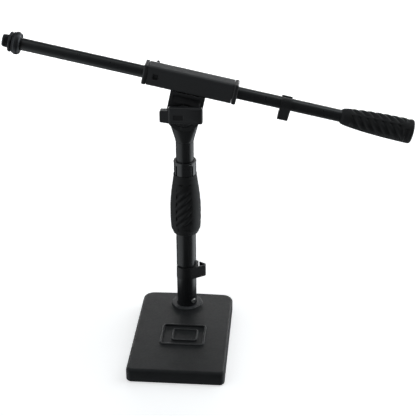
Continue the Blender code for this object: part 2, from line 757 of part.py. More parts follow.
def cable_clip(name, frame, tube_radius, apex_radius, apex_distance, low, high, turn=None):
    """A band that snaps over a tube, with a tapering loop on one side that holds a cable."""
    outer = tube_radius + GAP + CLIP_BAND
    lean = math.acos((outer - apex_radius) / apex_distance)
    apex = (apex_distance, 0.0)
    body = arc((0.0, 0.0), outer, lean, math.tau - lean, 30) + arc(apex, apex_radius, -lean, lean, 8)
    clip = place(name, prism(body, low, high), "clip_plastic", frame, turn)
    cut(clip, name + "_tube_hole", rod(tube_radius + GAP, low - 0.001, high + 0.001), turn)

    inside = outer - CLIP_STRAP
    spread = lean - math.acos(inside / outer)
    loop = arc(apex, apex_radius - CLIP_STRAP, -lean, lean, 6) + arc((0.0, 0.0), outer, spread, -spread, 8)
    cut(clip, name + "_loop", prism(loop, low - 0.001, high + 0.001), turn)

    wide = outer * 1.5
    open_angle = CLIP_GAP_HALF_ANGLE
    mouth = [(0.0, 0.0)] + arc((0.0, 0.0), wide, math.pi - open_angle, math.pi + open_angle, 4)
    cut(clip, name + "_mouth", prism(mouth, low - 0.001, high + 0.001), turn)

    slit_start = math.sqrt(outer ** 2 - inside ** 2) + 0.0012
    slit_end = slit_start + 0.0026
    slit = block((slit_start, inside - 0.0008, low - 0.001), (slit_end, outer + 0.001, high + 0.001))
    lay = Matrix.Rotation(lean - math.pi / 2, 4, "Z")
    cut(clip, name + "_slit", slit, lay if turn is None else turn @ lay)


# ---------------------------------------------------------------- assembly

def build():
    clear_scene()
    post = empty("post_axis", (0.0, POST_Y, 0.0))
    pivot = empty("tilt_axis", (0.0, 0.0, PIVOT_Z), TILT, post)
    boom = empty("boom_axis", (0.0, 0.0, BOOM_RISE), 0.0, pivot)

    base_casting(post)
    base_pad(post)
    base_fasteners(post)
    post_foot_plug(post)
    lower_tube(post)
    post_set_screw(post)
    mast_bush(post)
    upper_tube(post)

    clutch_body(post)
    clutch_nut(post)
    clutch_collet(post)
    clutch_grip(post)
    yoke(post)

    tilt_head(pivot)
    saddle_screws(pivot)
    pivot_hardware(pivot)
    tilt_lever(pivot)

    clamp_housing(boom)
    end_bush(boom, "left", -1, -0.048)
    end_bush(boom, "right", 1, 0.032)
    boom_liner(boom)
    boom_lock(boom)
    wing_knob(boom)

    boom_tube(boom)
    boom_end_plug(boom)
    thread_adapter(boom)
    lock_ring(boom)
    counterweight_core(boom)
    counterweight_grip(boom)

    cable_clip("post_cable_clip", post, POST_RADIUS, 0.0030, 0.0224, POST_CLIP_LOW, POST_CLIP_HIGH)
    cable_clip("boom_cable_clip", boom, BOOM_RADIUS, 0.0031, 0.0186, BOOM_CLIP_LEFT, BOOM_CLIP_RIGHT, ALONG_X)


build()
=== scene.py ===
"""The looks of the short boom microphone stand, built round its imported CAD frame.

Lengths are metres in the frame's axes: +X along the boom towards the counterweight, +Y to the rear, +Z up.
Turned pieces are shaped about their own Z axis, which lies along the post or along the boom.
"""

import json
import math

import bmesh
import bpy
from mathutils import Matrix, Vector


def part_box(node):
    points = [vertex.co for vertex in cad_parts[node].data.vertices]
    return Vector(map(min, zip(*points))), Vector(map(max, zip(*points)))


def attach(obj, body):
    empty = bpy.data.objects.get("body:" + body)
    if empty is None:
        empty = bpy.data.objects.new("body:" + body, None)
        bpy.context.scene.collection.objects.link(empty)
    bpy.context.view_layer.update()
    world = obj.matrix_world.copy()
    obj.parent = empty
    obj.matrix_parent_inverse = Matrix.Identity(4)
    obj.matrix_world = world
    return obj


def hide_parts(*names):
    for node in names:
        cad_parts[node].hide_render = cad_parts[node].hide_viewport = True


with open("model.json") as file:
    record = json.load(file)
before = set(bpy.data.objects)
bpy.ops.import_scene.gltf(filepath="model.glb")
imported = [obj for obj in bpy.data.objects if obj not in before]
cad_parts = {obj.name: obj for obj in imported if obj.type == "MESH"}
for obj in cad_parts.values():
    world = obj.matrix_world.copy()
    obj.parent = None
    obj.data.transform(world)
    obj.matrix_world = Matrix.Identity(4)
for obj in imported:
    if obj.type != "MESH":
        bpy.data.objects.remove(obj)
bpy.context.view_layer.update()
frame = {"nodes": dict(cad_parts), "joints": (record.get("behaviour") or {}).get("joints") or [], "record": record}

# Camera
CAMERA_PLACE = (0.12379, -1.10714, 0.75874)
CAMERA_YAW = math.radians(4.65)
CAMERA_PITCH = math.radians(-26.94)
CAMERA_ROLL = math.radians(-0.25)
CAMERA_LENS = 89.76

# Fineness
ROUND = 96
SMALL_ROUND = 48
SHARP_ANGLE = math.radians(34)
GAP = 0.0003

# Base
EDGE_ROUND = 0.0036
BASE_REAR_CORNER = 0.013
BASE_FRONT_CORNER = 0.006
CORNER_STEPS = 12
REAR_STEPS = 12
REAR_CROWN = 0.0018
BOSS_RADIUS = 0.0203
BOSS_HEIGHT = 0.0024
BOLT_RECESS_RADIUS = 0.013
BOLT_RECESS_TOP = 0.0098
SOCKET_FLOOR = 0.0135
BADGE_PLACE = (0.0025, -0.0119)
BADGE_SIZE = (0.0565, 0.0468)
BADGE_RIDGE = 0.0030
BADGE_DEPTH = 0.0009
PLAQUE_SHIFT = 0.002
PLAQUE_SIZE = (0.033, 0.026)

# Grips: three ribbed panels round each
GRIP_STEPS = 240
PANELS = 3
CLUTCH_PANEL_HALF = math.radians(33)
CLUTCH_PANEL_BEARING = math.radians(-92)
CLUTCH_RIB_PITCH = 0.0100
WEIGHT_PANEL_HALF = math.radians(56)
WEIGHT_PANEL_BEARING = math.radians(-76)
WEIGHT_RIB_PITCH = 0.0100
RIB_DEPTH = 0.0016

# Tilt head: a soft hollow along each side, above the pivot
SCOOP_RADIUS = 0.0075
SCOOP_DEPTH = 0.0016
SCOOP_HEIGHT = 0.0196
SCOOP_HALF = 0.0178

# Clamp housing
WINDOW_HALF = 0.0035

# Tilt joint and saddle. Bores and holes are radii. The lever is drawn level, which undoes the boom's lean
PIVOT_BORE = 0.0043
BOOM_LEAN = math.radians(12)
CHEEK_CLEARANCE = 0.0004
CHEEK_SWEEP = math.radians(62)
SADDLE_SCREW_HOLE = 0.0023
SADDLE_SCREW_REACH = 0.012

# Light. A lobe is (bearing, strength, full within, gone beyond). Angles are degrees from the front towards +X
WORLD_LOBES = ((-72, 0.62, 20, 55), (110, 1.4, 16, 38))
WORLD_DIM = 0.085
WORLD_COLOUR = (0.92, 0.97, 1.0, 1.0)
FLOOR_GLOW = 0.55
FLOOR_REACH = 5.0
FLOOR_BEND = 2.0

# Microphone thread: 27 turns to the inch
THREAD_PITCH = 0.0254 / 27
THREAD_DEPTH = 0.00055


# ---------------- places read from the frame

def joint(name):
    return next(item for item in frame["joints"] if item["name"] == name)


def post_place():
    low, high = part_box("lower_tube")
    return Matrix.Translation(((low.x + high.x) / 2, (low.y + high.y) / 2, 0.0))


def tilted_place(point):
    """A frame at a point whose X axis runs along the boom."""
    along = Vector(joint("boom_slide")["axis"])
    tilt = math.atan2(-along.z, along.x)
    return Matrix.Translation(point) @ Matrix.Rotation(tilt, 4, "Y")


POST = post_place()
PIVOT = tilted_place(joint("boom_tilt")["pos_m"])
BOOM = tilted_place(joint("boom_roll")["pos_m"])
ALONG_X = Matrix.Rotation(math.pi / 2, 4, "Y")
FACING_FRONT = Matrix.Rotation(math.pi / 2, 4, "X")
BOOM_AXIS = BOOM @ ALONG_X
PIVOT_AXIS = PIVOT @ FACING_FRONT
LOCK_AXIS = tilted_place(joint("lock_knob_turn")["pos_m"]) @ FACING_FRONT


def local_points(node, place):
    inverse = place.inverted()
    return [inverse @ vertex.co for vertex in frame["nodes"][node].data.vertices]


def span(node, place):
    """Lowest and highest corner of a CAD node in a frame's own axes."""
    points = local_points(node, place)
    low = Vector(min(point[axis] for point in points) for axis in range(3))
    high = Vector(max(point[axis] for point in points) for axis in range(3))
    return low, high


def turned_size(node, place):
    """Inner radius, outer radius, lowest and highest point of a turned CAD node about a frame's Z axis."""
    points = local_points(node, place)
    radii = [math.hypot(point.x, point.y) for point in points]
    heights = [point.z for point in points]
    return min(radii), max(radii), min(heights), max(heights)


# ---------------- outlines

def fillet(points, steps=3, closed=True):
    """Rounds each corner given as (u, v, radius). A corner given as (u, v) stays sharp."""
    outline = []
    count = len(points)
    for index, point in enumerate(points):
        here = Vector(point[:2])
        radius = point[2] if len(point) > 2 else 0.0
        at_end = not closed and index in (0, count - 1)
        if radius <= 0.0 or at_end:
            outline.append(tuple(here))
            continue
        before = Vector(points[index - 1][:2]) - here
        after = Vector(points[(index + 1) % count][:2]) - here
        half = before.angle(after) / 2
        reach = min(radius / math.tan(half), before.length * 0.49, after.length * 0.49)
        start = here + before.normalized() * reach
        end = here + after.normalized() * reach
        for step in range(steps + 1):
            t = step / steps
            spot = start * (1 - t) ** 2 + here * (2 * t * (1 - t)) + end * t ** 2
            outline.append(tuple(spot))
    return outline


def arc(centre, radius, start, end, steps):
    angles = [start + (end - start) * step / steps for step in range(steps + 1)]
    return [(centre[0] + radius * math.cos(a), centre[1] + radius * math.sin(a)) for a in angles]


def rounded_rectangle(width, depth, radius, steps=8, front_radius=None):
    """A rectangle about the origin with round corners. Its two front corners may have their own radius."""
    outline = []
    for quarter, (sx, sy) in enumerate(((1, 1), (-1, 1), (-1, -1), (1, -1))):
        start = quarter * math.pi / 2
        corner = front_radius if front_radius is not None and sy < 0 else radius
        centre = (sx * (width / 2 - corner), sy * (depth / 2 - corner))
        outline += arc(centre, corner, start, start + math.pi / 2, steps)
    return outline


def superellipse(half_width, half_depth, power, steps=ROUND):
    points = []
    for step in range(steps):
        angle = math.tau * step / steps
        x = math.copysign(abs(math.cos(angle)) ** (2 / power), math.cos(angle))
        y = math.copysign(abs(math.sin(angle)) ** (2 / power), math.sin(angle))
        points.append((half_width * x, half_depth * y))
    return points


def hexagon(across_flats):
    return arc((0.0, 0.0), across_flats / math.sqrt(3), 0.0, math.tau * 5 / 6, 5)


def smooth_line(points, steps):
    """A smooth curve through (position, value...) points, read at evenly spaced steps between them."""
    line = []
    for index in range(len(points) - 1):
        before = Vector(points[max(index - 1, 0)])
        start = Vector(points[index])
        end = Vector(points[index + 1])
        after = Vector(points[min(index + 2, len(points) - 1)])
        for step in range(steps):
            t = step / steps
            square = 2 * before - 5 * start + 4 * end - after
            cube = 3 * start - before - 3 * end + after
            line.append(0.5 * (2 * start + (end - before) * t + square * t ** 2 + cube * t ** 3))
    line.append(Vector(points[-1]))
    return line


# ---------------- meshes

def loft(rings, closed=False):
    """Skins rings of 3-D points. A ring of one point is a pole. An open end with more points gets a cap."""
    bm = bmesh.new()
    levels = [[bm.verts.new(point) for point in ring] for ring in rings]
    pairs = list(zip(levels, levels[1:]))
    if closed:
        pairs.append((levels[-1], levels[0]))
    for lower, upper in pairs:
        for here in range(max(len(lower), len(upper))):
            after = (here + 1) % max(len(lower), len(upper))
            corners = [lower[here % len(lower)], lower[after % len(lower)]]
            corners += [upper[after % len(upper)], upper[here % len(upper)]]
            unique = list(dict.fromkeys(corners))
            if len(unique) > 2:
                bm.faces.new(unique)
    if not closed:
        for level in (levels[0], levels[-1]):
            if len(level) > 2:
                bm.faces.new(level)
    return bm


def revolve(profile, steps=ROUND, shape=None):
    """Turns (radius, height) points about Z. shape(angle, radius, height) may change the radius."""
    rings = []
    for radius, height in profile:
        if radius < 1e-7:
            rings.append([(0.0, 0.0, height)])
            continue
        ring = []
        for step in range(steps):
            angle = math.tau * step / steps
            reach = shape(angle, radius, height) if shape else radius
            ring.append((reach * math.cos(angle), reach * math.sin(angle), height))
        rings.append(ring)
    return loft(rings, closed=profile[0][0] >= 1e-7)


def rod(radius, low, high, rounding=0.0, steps=SMALL_ROUND):
    return revolve(fillet([(0.0, low), (radius, low, rounding), (radius, high, rounding), (0.0, high)],
                          closed=False), steps)


def collar(inner, outer, low, high, rounding, steps=ROUND):
    corners = ((inner, low), (outer, low), (outer, high), (inner, high))
    return revolve(fillet([(*corner, rounding) for corner in corners]), steps)


def stack(outline_at, levels):
    """Lofts an outline that shrinks: outline_at(inset) gives its points, and levels are (inset, height)."""
    return loft([[(x, y, height) for x, y in outline_at(inset)] for inset, height in levels])


def prism(outline, low, high):
    return loft([[(x, y, low) for x, y in outline], [(x, y, high) for x, y in outline]])


def soft_block(low, high, rounding, segments=4):
    low = Vector(low)
    high = Vector(high)
    bm = bmesh.new()
    bmesh.ops.create_cube(bm, size=1.0)
    bm.transform(Matrix.Translation((low + high) / 2) @ Matrix.Diagonal((*(high - low), 1.0)))
    if rounding:
        bmesh.ops.bevel(bm, geom=bm.edges[:], offset=rounding, segments=segments, profile=0.5, affect="EDGES")
    return bm


def new_object(name, bm, place, turn=None):
    if turn is not None:
        bm.transform(turn)
    bmesh.ops.recalc_face_normals(bm, faces=bm.faces)
    mesh = bpy.data.meshes.new(name)
    bm.to_mesh(mesh)
    bm.free()
    obj = bpy.data.objects.new(name, mesh)
    obj.matrix_world = place
    bpy.context.scene.collection.objects.link(obj)
    return obj


def apply_modifiers(obj):
    bpy.context.view_layer.update()
    evaluated = obj.evaluated_get(bpy.context.evaluated_depsgraph_get())
    mesh = bpy.data.meshes.new_from_object(evaluated)
    mesh.name = obj.name
    obj.modifiers.clear()
    old = obj.data
    obj.data = mesh
    bpy.data.meshes.remove(old)


def combine(obj, operation, bm, turn=None):
    """Joins a second shape to an object, or cuts it away, in the object's own axes."""
    tool = new_object(obj.name + "_tool", bm, obj.matrix_world, turn)
    modifier = obj.modifiers.new("shape", "BOOLEAN")
    modifier.operation = operation
    modifier.solver = "EXACT"
    modifier.object = tool
    apply_modifiers(obj)
    bpy.data.objects.remove(tool, do_unlink=True)


def cut(obj, bm, turn=None):
    combine(obj, "DIFFERENCE", bm, turn)


def add(obj, bm, turn=None):
    combine(obj, "UNION", bm, turn)


def soften(obj, width, segments=3, angle=math.radians(30)):
    """Rounds the edges that are still sharp."""
    modifier = obj.modifiers.new("edges", "BEVEL")
    modifier.width = width
    modifier.segments = segments
    modifier.limit_method = "ANGLE"
    modifier.angle_limit = angle
    modifier.use_clamp_overlap = True
    apply_modifiers(obj)


def dress(obj, body, slot, *nodes, flat_parts=True):
    """Bakes a piece's place into its mesh, gives it looks and a body, and hides the CAD nodes it replaces."""
    mesh = obj.data
    mesh.transform(obj.matrix_world)
    obj.matrix_world = Matrix.Identity(4)
    mesh.shade_smooth()
    mesh.set_sharp_from_angle(angle=SHARP_ANGLE)
    mesh.materials.clear()
    mesh.materials.append(FINISH[slot])
    if flat_parts:
        weighted = obj.modifiers.new("flat_parts", "WEIGHTED_NORMAL")
        weighted.keep_sharp = True
    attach(obj, body)
    if nodes:
        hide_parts(*nodes)
    return obj


# ---------------- materials

SOCKETS = {
    "metallic": "Metallic",
    "specular": "Specular IOR Level",
    "coat": "Coat Weight",
    "coat_rough": "Coat Roughness",
    "sheen": "Sheen Weight",
    "sheen_rough": "Sheen Roughness",
}


class Nodes:
    """Builds one material from nodes."""

    def __init__(self, name):
        self.material = bpy.data.materials.new(name)
        self.material.use_nodes = True
        self.tree = self.material.node_tree
        self.shader = self.tree.nodes["Principled BSDF"]

    def add(self, kind, **values):
        node = self.tree.nodes.new(kind)
        for key, value in values.items():
            setattr(node, key, value)
        return node

    def link(self, output, target):
        self.tree.links.new(output, target)

    def noise(self, size, detail=3.0, stretch=(1.0, 1.0, 1.0)):
        """Noise whose features are about size metres across."""
        source = self.add("ShaderNodeTexCoord")
        mapping = self.add("ShaderNodeMapping")
        mapping.inputs["Scale"].default_value = stretch
        self.link(source.outputs["Object"], mapping.inputs["Vector"])
        node = self.add("ShaderNodeTexNoise")
        node.inputs["Scale"].default_value = 1.0 / size
        node.inputs["Detail"].default_value = detail
        self.link(mapping.outputs["Vector"], node.inputs["Vector"])
        return node.outputs["Fac"]

    def ranged(self, value, low, high, start=0.3, end=0.7):
        node = self.add("ShaderNodeMapRange")
        for name, number in (("From Min", start), ("From Max", end), ("To Min", low), ("To Max", high)):
            node.inputs[name].default_value = number
        self.link(value, node.inputs["Value"])
        return node.outputs["Result"]

    def blend(self, factor, first, second):
        node = self.add("ShaderNodeMix", data_type="RGBA")
        self.link(factor, node.inputs["Factor"])
        for value, socket in ((first, node.inputs["A"]), (second, node.inputs["B"])):
            if isinstance(value, tuple):
                socket.default_value = (*value, 1.0)
            else:
                self.link(value, socket)
        return node.outputs["Result"]

    def mottled(self, noise, colour, low, high):
        """A colour that drifts between two shades of itself."""
        return self.blend(self.ranged(noise, 0.0, 1.0), shade(colour, low), shade(colour, high))

    def bump(self, height, depth, below=None):
        node = self.add("ShaderNodeBump")
        node.inputs["Strength"].default_value = 1.0
        node.inputs["Distance"].default_value = depth
        self.link(height, node.inputs["Height"])
        if below is not None:
            self.link(below, node.inputs["Normal"])
        return node.outputs["Normal"]

    def pointiness(self):
        return self.add("ShaderNodeNewGeometry").outputs["Pointiness"]

    def worn_edges(self, colour, worn, start=0.515, end=0.57):
        """Lightens outward edges where handling has rubbed them."""
        return self.blend(self.ranged(self.pointiness(), 0.0, 1.0, start, end), colour, worn)

    def finish(self, colour, roughness, normal, **values):
        self.link(colour, self.shader.inputs["Base Color"])
        self.link(roughness, self.shader.inputs["Roughness"])
        self.link(normal, self.shader.inputs["Normal"])
        for name, value in values.items():
            self.shader.inputs[SOCKETS[name]].default_value = value
        return self.material


def shade(colour, factor):
    return tuple(channel * factor for channel in colour)


def base_paint():
    """Powder coat: a fine, slightly rough skin with a soft orange peel under it."""
    made = Nodes("base_paint")
    dark = (0.0205, 0.0214, 0.0222)
    colour = made.worn_edges(made.mottled(made.noise(0.018), dark, 0.88, 1.12), shade(dark, 2.8))
    roughness = made.ranged(made.noise(0.0032), 0.42, 0.54)
    peel = made.bump(made.noise(0.0022, 2.0), 0.00009)
    normal = made.bump(made.noise(0.00045, 4.0), 0.00005, peel)
    return made.finish(colour, roughness, normal, metallic=0.0, specular=0.18)


def tube_paint():
    """Smooth satin paint on drawn tube, with faint upright lines."""
    made = Nodes("tube_paint")
    lines = made.noise(0.0011, 2.0, (1.0, 1.0, 0.03))
    colour = made.mottled(lines, (0.0150, 0.0155, 0.0165), 0.85, 1.2)
    roughness = made.ranged(made.noise(0.004, 3.0, (1.0, 1.0, 0.25)), 0.27, 0.36)
    normal = made.bump(made.noise(0.0009), 0.000018, made.bump(lines, 0.00001))
    return made.finish(colour, roughness, normal, specular=0.5, coat=0.15, coat_rough=0.22)


def black_steel():
    """Blackened steel with small bright rubs on its edges."""
    made = Nodes("black_steel")
    colour = made.mottled(made.noise(0.006), (0.060, 0.062, 0.066), 0.8, 1.25)
    colour = made.worn_edges(colour, (0.16, 0.16, 0.165), 0.54, 0.64)
    roughness = made.ranged(made.noise(0.0016), 0.28, 0.42)
    return made.finish(colour, roughness, made.bump(made.noise(0.0005), 0.000018), metallic=0.75)


def zinc_steel():
    """Bright zinc plate, lightly clouded."""
    made = Nodes("zinc_steel")
    colour = made.mottled(made.noise(0.0025), (0.62, 0.62, 0.60), 0.82, 1.0)
    roughness = made.ranged(made.noise(0.0008), 0.22, 0.38)
    return made.finish(colour, roughness, made.bump(made.noise(0.0004, 2.0), 0.00001), metallic=1.0)


def cast_iron():
    """Bare grey casting with a sandy skin."""
    made = Nodes("cast_iron")
    colour = made.mottled(made.noise(0.004), (0.10, 0.10, 0.10), 0.7, 1.2)
    roughness = made.ranged(made.noise(0.002), 0.6, 0.8)
    return made.finish(colour, roughness, made.bump(made.noise(0.0007, 4.0), 0.00012), metallic=0.9)


def gloss_black():
    """Polished black collet with hairline marks round it."""
    made = Nodes("gloss_black")
    hairlines = made.noise(0.0006, 2.0, (0.1, 0.1, 1.0))
    colour = made.mottled(hairlines, (0.010, 0.0102, 0.011), 1.0, 1.6)
    roughness = made.ranged(hairlines, 0.10, 0.20)
    normal = made.bump(hairlines, 0.000004)
    return made.finish(colour, roughness, normal, specular=0.6, coat=0.5, coat_rough=0.08)


def moulded_black():
    """Glass-filled nylon mouldings with the fine spark grain of their mould."""
    made = Nodes("moulded_black")
    dark = (0.0185, 0.0188, 0.0195)
    colour = made.worn_edges(made.mottled(made.noise(0.012), dark, 0.9, 1.12), shade(dark, 2.4))
    roughness = made.ranged(made.noise(0.0022), 0.29, 0.40)
    return made.finish(colour, roughness, made.bump(made.noise(0.00038), 0.00003), specular=0.5)


def soft_grip():
    """Soft matte elastomer, with painted shade that darkens its low places."""
    made = Nodes("soft_grip")
    dark = (0.0165, 0.0168, 0.0172)
    # Painted shade: the colour is darkened in the grooves and low places, where shade falls.
    painted_shade_in_low_places = made.ranged(made.pointiness(), 1.0, 0.0, 0.42, 0.50)
    colour = made.blend(painted_shade_in_low_places, made.mottled(made.noise(0.010), dark, 0.9, 1.15), shade(dark, 0.6))
    roughness = made.ranged(made.noise(0.0024), 0.56, 0.68)
    normal = made.bump(made.noise(0.00035), 0.00004)
    return made.finish(colour, roughness, normal, specular=0.28, sheen=0.02, sheen_rough=0.5)


def clip_plastic():
    """Semi-matte moulded plastic of the cable clips, with faint flow lines."""
    made = Nodes("clip_plastic")
    flow = made.noise(0.003, 2.0, (1.0, 1.0, 0.2))
    colour = made.mottled(flow, (0.0150, 0.0152, 0.0160), 0.85, 1.2)
    roughness = made.ranged(made.noise(0.0015), 0.34, 0.46)
    return made.finish(colour, roughness, made.bump(made.noise(0.0004), 0.00002))


def foot_rubber():
    """Matte sheet rubber."""
    made = Nodes("foot_rubber")
    colour = made.mottled(made.noise(0.008), (0.014, 0.014, 0.014), 1.0, 1.4)
    roughness = made.ranged(made.noise(0.002), 0.82, 0.95)
    return made.finish(colour, roughness, made.bump(made.noise(0.0006), 0.00006))


def nylon():
    """Natural nylon, slightly milky."""
    made = Nodes("nylon")
    colour = made.mottled(made.noise(0.006), (0.72, 0.71, 0.66), 0.94, 1.0)
    roughness = made.ranged(made.noise(0.002), 0.42, 0.55)
    return made.finish(colour, roughness, made.bump(made.noise(0.0007, 2.0), 0.00002))


def brass():
    """Plain turned brass."""
    made = Nodes("brass")
    colour = made.mottled(made.noise(0.002), (0.78, 0.58, 0.26), 0.8, 1.0)
    roughness = made.ranged(made.noise(0.0008), 0.24, 0.36)
    return made.finish(colour, roughness, made.bump(made.noise(0.0004, 2.0), 0.00001), metallic=1.0)


MAKERS = (base_paint, foot_rubber, tube_paint, black_steel, zinc_steel, cast_iron, gloss_black, moulded_black,
          soft_grip, clip_plastic, nylon, brass)
FINISH = {maker.__name__: maker() for maker in MAKERS}


def finish_kept_nodes():
    """CAD nodes whose shape is right keep it, and take the same finishes."""
    slots = {part["node"]: part["material_slot"] for part in frame["record"]["subparts"]}
    for name, node in frame["nodes"].items():
        if not node.hide_render:
            node.data.materials.clear()
            node.data.materials.append(FINISH[slots[name]])


# ---------------- plain turned pieces

def fine_ring(name, node, place, body, slot, rounding=0.0003, steps=ROUND):
    inner, outer, low, high = turned_size(node, place)
    ring = new_object(name, collar(inner, outer, low, high, rounding, steps), place)
    return dress(ring, body, slot, node, flat_parts=False)


def plain_rings():
    fine_ring("upper_tube_skin", "upper_tube", POST, "mast", "tube_paint")
    fine_ring("boom_tube_skin", "boom_tube", BOOM_AXIS, "boom", "tube_paint", 0.0004)
    fine_ring("clutch_body_turned", "clutch_body", POST, "base", "black_steel")
    fine_ring("boom_liner_moulded", "boom_liner", BOOM_AXIS, "liner", "nylon")
    fine_ring("foot_washer", "bolt_washer", POST, "base", "zinc_steel")
    for label in ("front", "rear"):
        node = f"friction_washer_{label}"
        fine_ring(f"{node}_turned", node, PIVOT_AXIS, "head", "nylon", 0.0002)
    fine_ring("pivot_washer", "tilt_bolt_washer", PIVOT_AXIS, "head", "zinc_steel", 0.00025)
    fine_ring("lever_washer_turned", "lever_washer", PIVOT_AXIS, "head", "zinc_steel", 0.0002)
    fine_ring("brass_insert", "thread_insert", LOCK_AXIS, "head", "brass", 0.0002, SMALL_ROUND)


# ---------------- base

def base_shell():
    low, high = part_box("base_casting")
    width = high.x - low.x
    depth = high.y - low.y
    centre = Vector(((low.x + high.x) / 2, (low.y + high.y) / 2, 0.0))
    top = high.z - BOSS_HEIGHT

    def outline_at(inset):
        across = width - 2 * inset
        along = depth - 2 * inset
        corners = (BASE_REAR_CORNER - inset, BASE_FRONT_CORNER - inset)
        outline = rounded_rectangle(across, along, corners[0], CORNER_STEPS, corners[1])
        start, end = outline[CORNER_STEPS:CORNER_STEPS + 2]
        length = end[0] - start[0]
        rear = [(start[0] + length * step / REAR_STEPS, start[1]) for step in range(1, REAR_STEPS)]
        outline[CORNER_STEPS + 1:CORNER_STEPS + 1] = rear
        return [(x, y - REAR_CROWN * (2 * x / width) ** 2 if y > 0 else y) for x, y in outline]

    levels = [(0.0008, low.z), (0.0002, low.z + 0.0002), (0.0, low.z + 0.0008)]
    for x, z in arc((EDGE_ROUND, top - EDGE_ROUND), EDGE_ROUND, math.pi, math.pi / 2, 8):
        levels.append((x, z))
    shell = new_object("base_shell", stack(outline_at, levels), Matrix.Translation(centre))

    post = POST.translation - centre
    at_post = Matrix.Translation((post.x, post.y, 0.0))
    _, post_radius, _, _ = turned_size("lower_tube", POST)
    boss_top = top + BOSS_HEIGHT
    boss = fillet([
        (0.0, top - 0.003),
        (BOSS_RADIUS + 0.0026, top - 0.003),
        (BOSS_RADIUS + 0.0026, top - 0.0001),
        (BOSS_RADIUS, top + 0.0001, 0.0010),
        (BOSS_RADIUS - 0.0004, boss_top, 0.0012),
        (0.0, boss_top),
    ], steps=5, closed=False)
    add(shell, revolve(boss), at_post)
    hole = [
        (0.0, -0.001),
        (BOLT_RECESS_RADIUS, -0.001),
        (BOLT_RECESS_RADIUS, BOLT_RECESS_TOP),
        (0.0053, BOLT_RECESS_TOP),
        (0.0053, SOCKET_FLOOR),
        (post_radius + GAP, SOCKET_FLOOR),
        (post_radius + GAP, boss_top - 0.0005),
        (post_radius + GAP + 0.0006, boss_top + 0.001),
        (0.0, boss_top + 0.001),
    ]
    cut(shell, revolve(hole), at_post)
    badge(shell, top)
    dress(shell, "base", "base_paint", "base_casting")


def badge(shell, top):
    """A raised rounded frame round a sunken field, with a blank dished plaque in it."""
    at_badge = Matrix.Translation((*BADGE_PLACE, 0.0))
    field = [size - 2 * BADGE_RIDGE + 0.0006 for size in BADGE_SIZE]
    cut(shell, prism(rounded_rectangle(*field, 0.0035), top - BADGE_DEPTH, top + 0.003), at_badge)
    ridge = [(0.0, -0.0016), (0.0, 0.0001), (0.0002, 0.0008), (0.0006, 0.0013), (0.0012, 0.0015),
             (0.0018, 0.0015), (0.0024, 0.0013), (0.0028, 0.0008), (BADGE_RIDGE, 0.0001),
             (BADGE_RIDGE, -0.0016)]
    rings = []
    for inset, rise in ridge:
        outline = rounded_rectangle(BADGE_SIZE[0] - 2 * inset, BADGE_SIZE[1] - 2 * inset, 0.0058 - inset, 10)
        rings.append([(x, y, top + rise) for x, y in outline])
    add(shell, loft(rings, closed=True), at_badge)

    def plaque_at(inset):
        return rounded_rectangle(PLAQUE_SIZE[0] - 2 * inset, PLAQUE_SIZE[1] - 2 * inset, 0.0046 - inset, 10)

    plaque = [(0.0, -0.0016), (0.0, 0.0), (0.0002, 0.0006), (0.0006, 0.0010), (0.0011, 0.0011),
              (0.0016, 0.0010), (0.0021, 0.0006), (0.0025, -0.0002), (0.0028, -0.0005), (0.0034, -0.0006)]
    at_plaque = at_badge @ Matrix.Translation((PLAQUE_SHIFT, 0.0, 0.0))
    add(shell, stack(plaque_at, [(inset, top + rise) for inset, rise in plaque]), at_plaque)


def hex_bolt(name, node, place, body, flats, head_height, shank_radius):
    """A hexagon-head bolt whose head is chamfered at its corners."""
    _, _, low, high = turned_size(node, place)
    outer = flats / math.sqrt(3)
    bolt = new_object(name, prism(hexagon(flats), low, low + head_height), place)
    rim = outer + 0.0006
    head_end = low + head_height
    dome = [(0.0, low), (flats / 2, low), (rim, low + 0.0016), (rim, head_end), (0.0, head_end)]
    combine(bolt, "INTERSECT", revolve(fillet(dome, closed=False), SMALL_ROUND))
    add(bolt, threaded(shank_radius, low + head_height * 0.5, high, 0.00125, 0.0004))
    dress(bolt, body, "zinc_steel", node)


def thread_relief(radius, angle, height, low, high, pitch, depth, fade):
    """Radius on a helical thread that fades in at both ends."""
    phase = (height / pitch - angle / math.tau) % 1.0
    crest = 1.0 - abs(2.0 * phase - 1.0)
    ends = min(1.0, (height - low) / fade, (high - height) / fade)
    return radius - depth * (1.0 - crest * max(ends, 0.0))


def threaded(radius, low, high, pitch, depth, steps=SMALL_ROUND):
    """A rod with a real helical thread that fades in at both ends."""
    rows = max(2, round((high - low) / pitch * 6))
    fade = pitch * 1.2

    def reach(angle, base, height):
        return thread_relief(base, angle, height, low, high, pitch, depth, fade)

    profile = [(0.0, low)]
    profile += [(radius, low + (high - low) * row / rows) for row in range(rows + 1)]
    profile.append((0.0, high))
    return revolve(profile, steps, reach)


# ---------------- post

def lower_tube():
    inner, outer, low, high = turned_size("lower_tube", POST)
    tube = new_object("lower_tube_skin", collar(inner, outer, low, high, 0.0003), POST)
    hole = rod(0.0033, inner - 0.002, outer + 0.002)
    cut(tube, hole, screw_place())
    dress(tube, "base", "tube_paint", "lower_tube", flat_parts=False)


def screw_place():
    """Where the set screw lies, in the post's axes: its own Z axis points outwards."""
    low, high = span("post_set_screw", POST)
    middle = (low + high) / 2
    bearing = math.atan2(middle.y, middle.x)
    return Matrix.Translation((0.0, 0.0, middle.z)) @ Matrix.Rotation(bearing, 4, "Z") @ ALONG_X


def set_screw():
    place = POST @ screw_place()
    _, outer, low, high = turned_size("post_set_screw", place)
    body = fillet([
        (0.0, low),
        (outer - 0.0007, low, 0.0002),
        (outer - 0.0007, high - 0.0020),
        (outer, high - 0.0020, 0.0002),
        (outer, high, 0.0008),
        (0.0, high),
    ], steps=5, closed=False)
    screw = new_object("set_screw_turned", revolve(body, SMALL_ROUND), place)
    cut(screw, prism(hexagon(0.0026), high - 0.0016, high + 0.001))
    soften(screw, 0.0001, 2)
    dress(screw, "base", "zinc_steel", "post_set_screw")


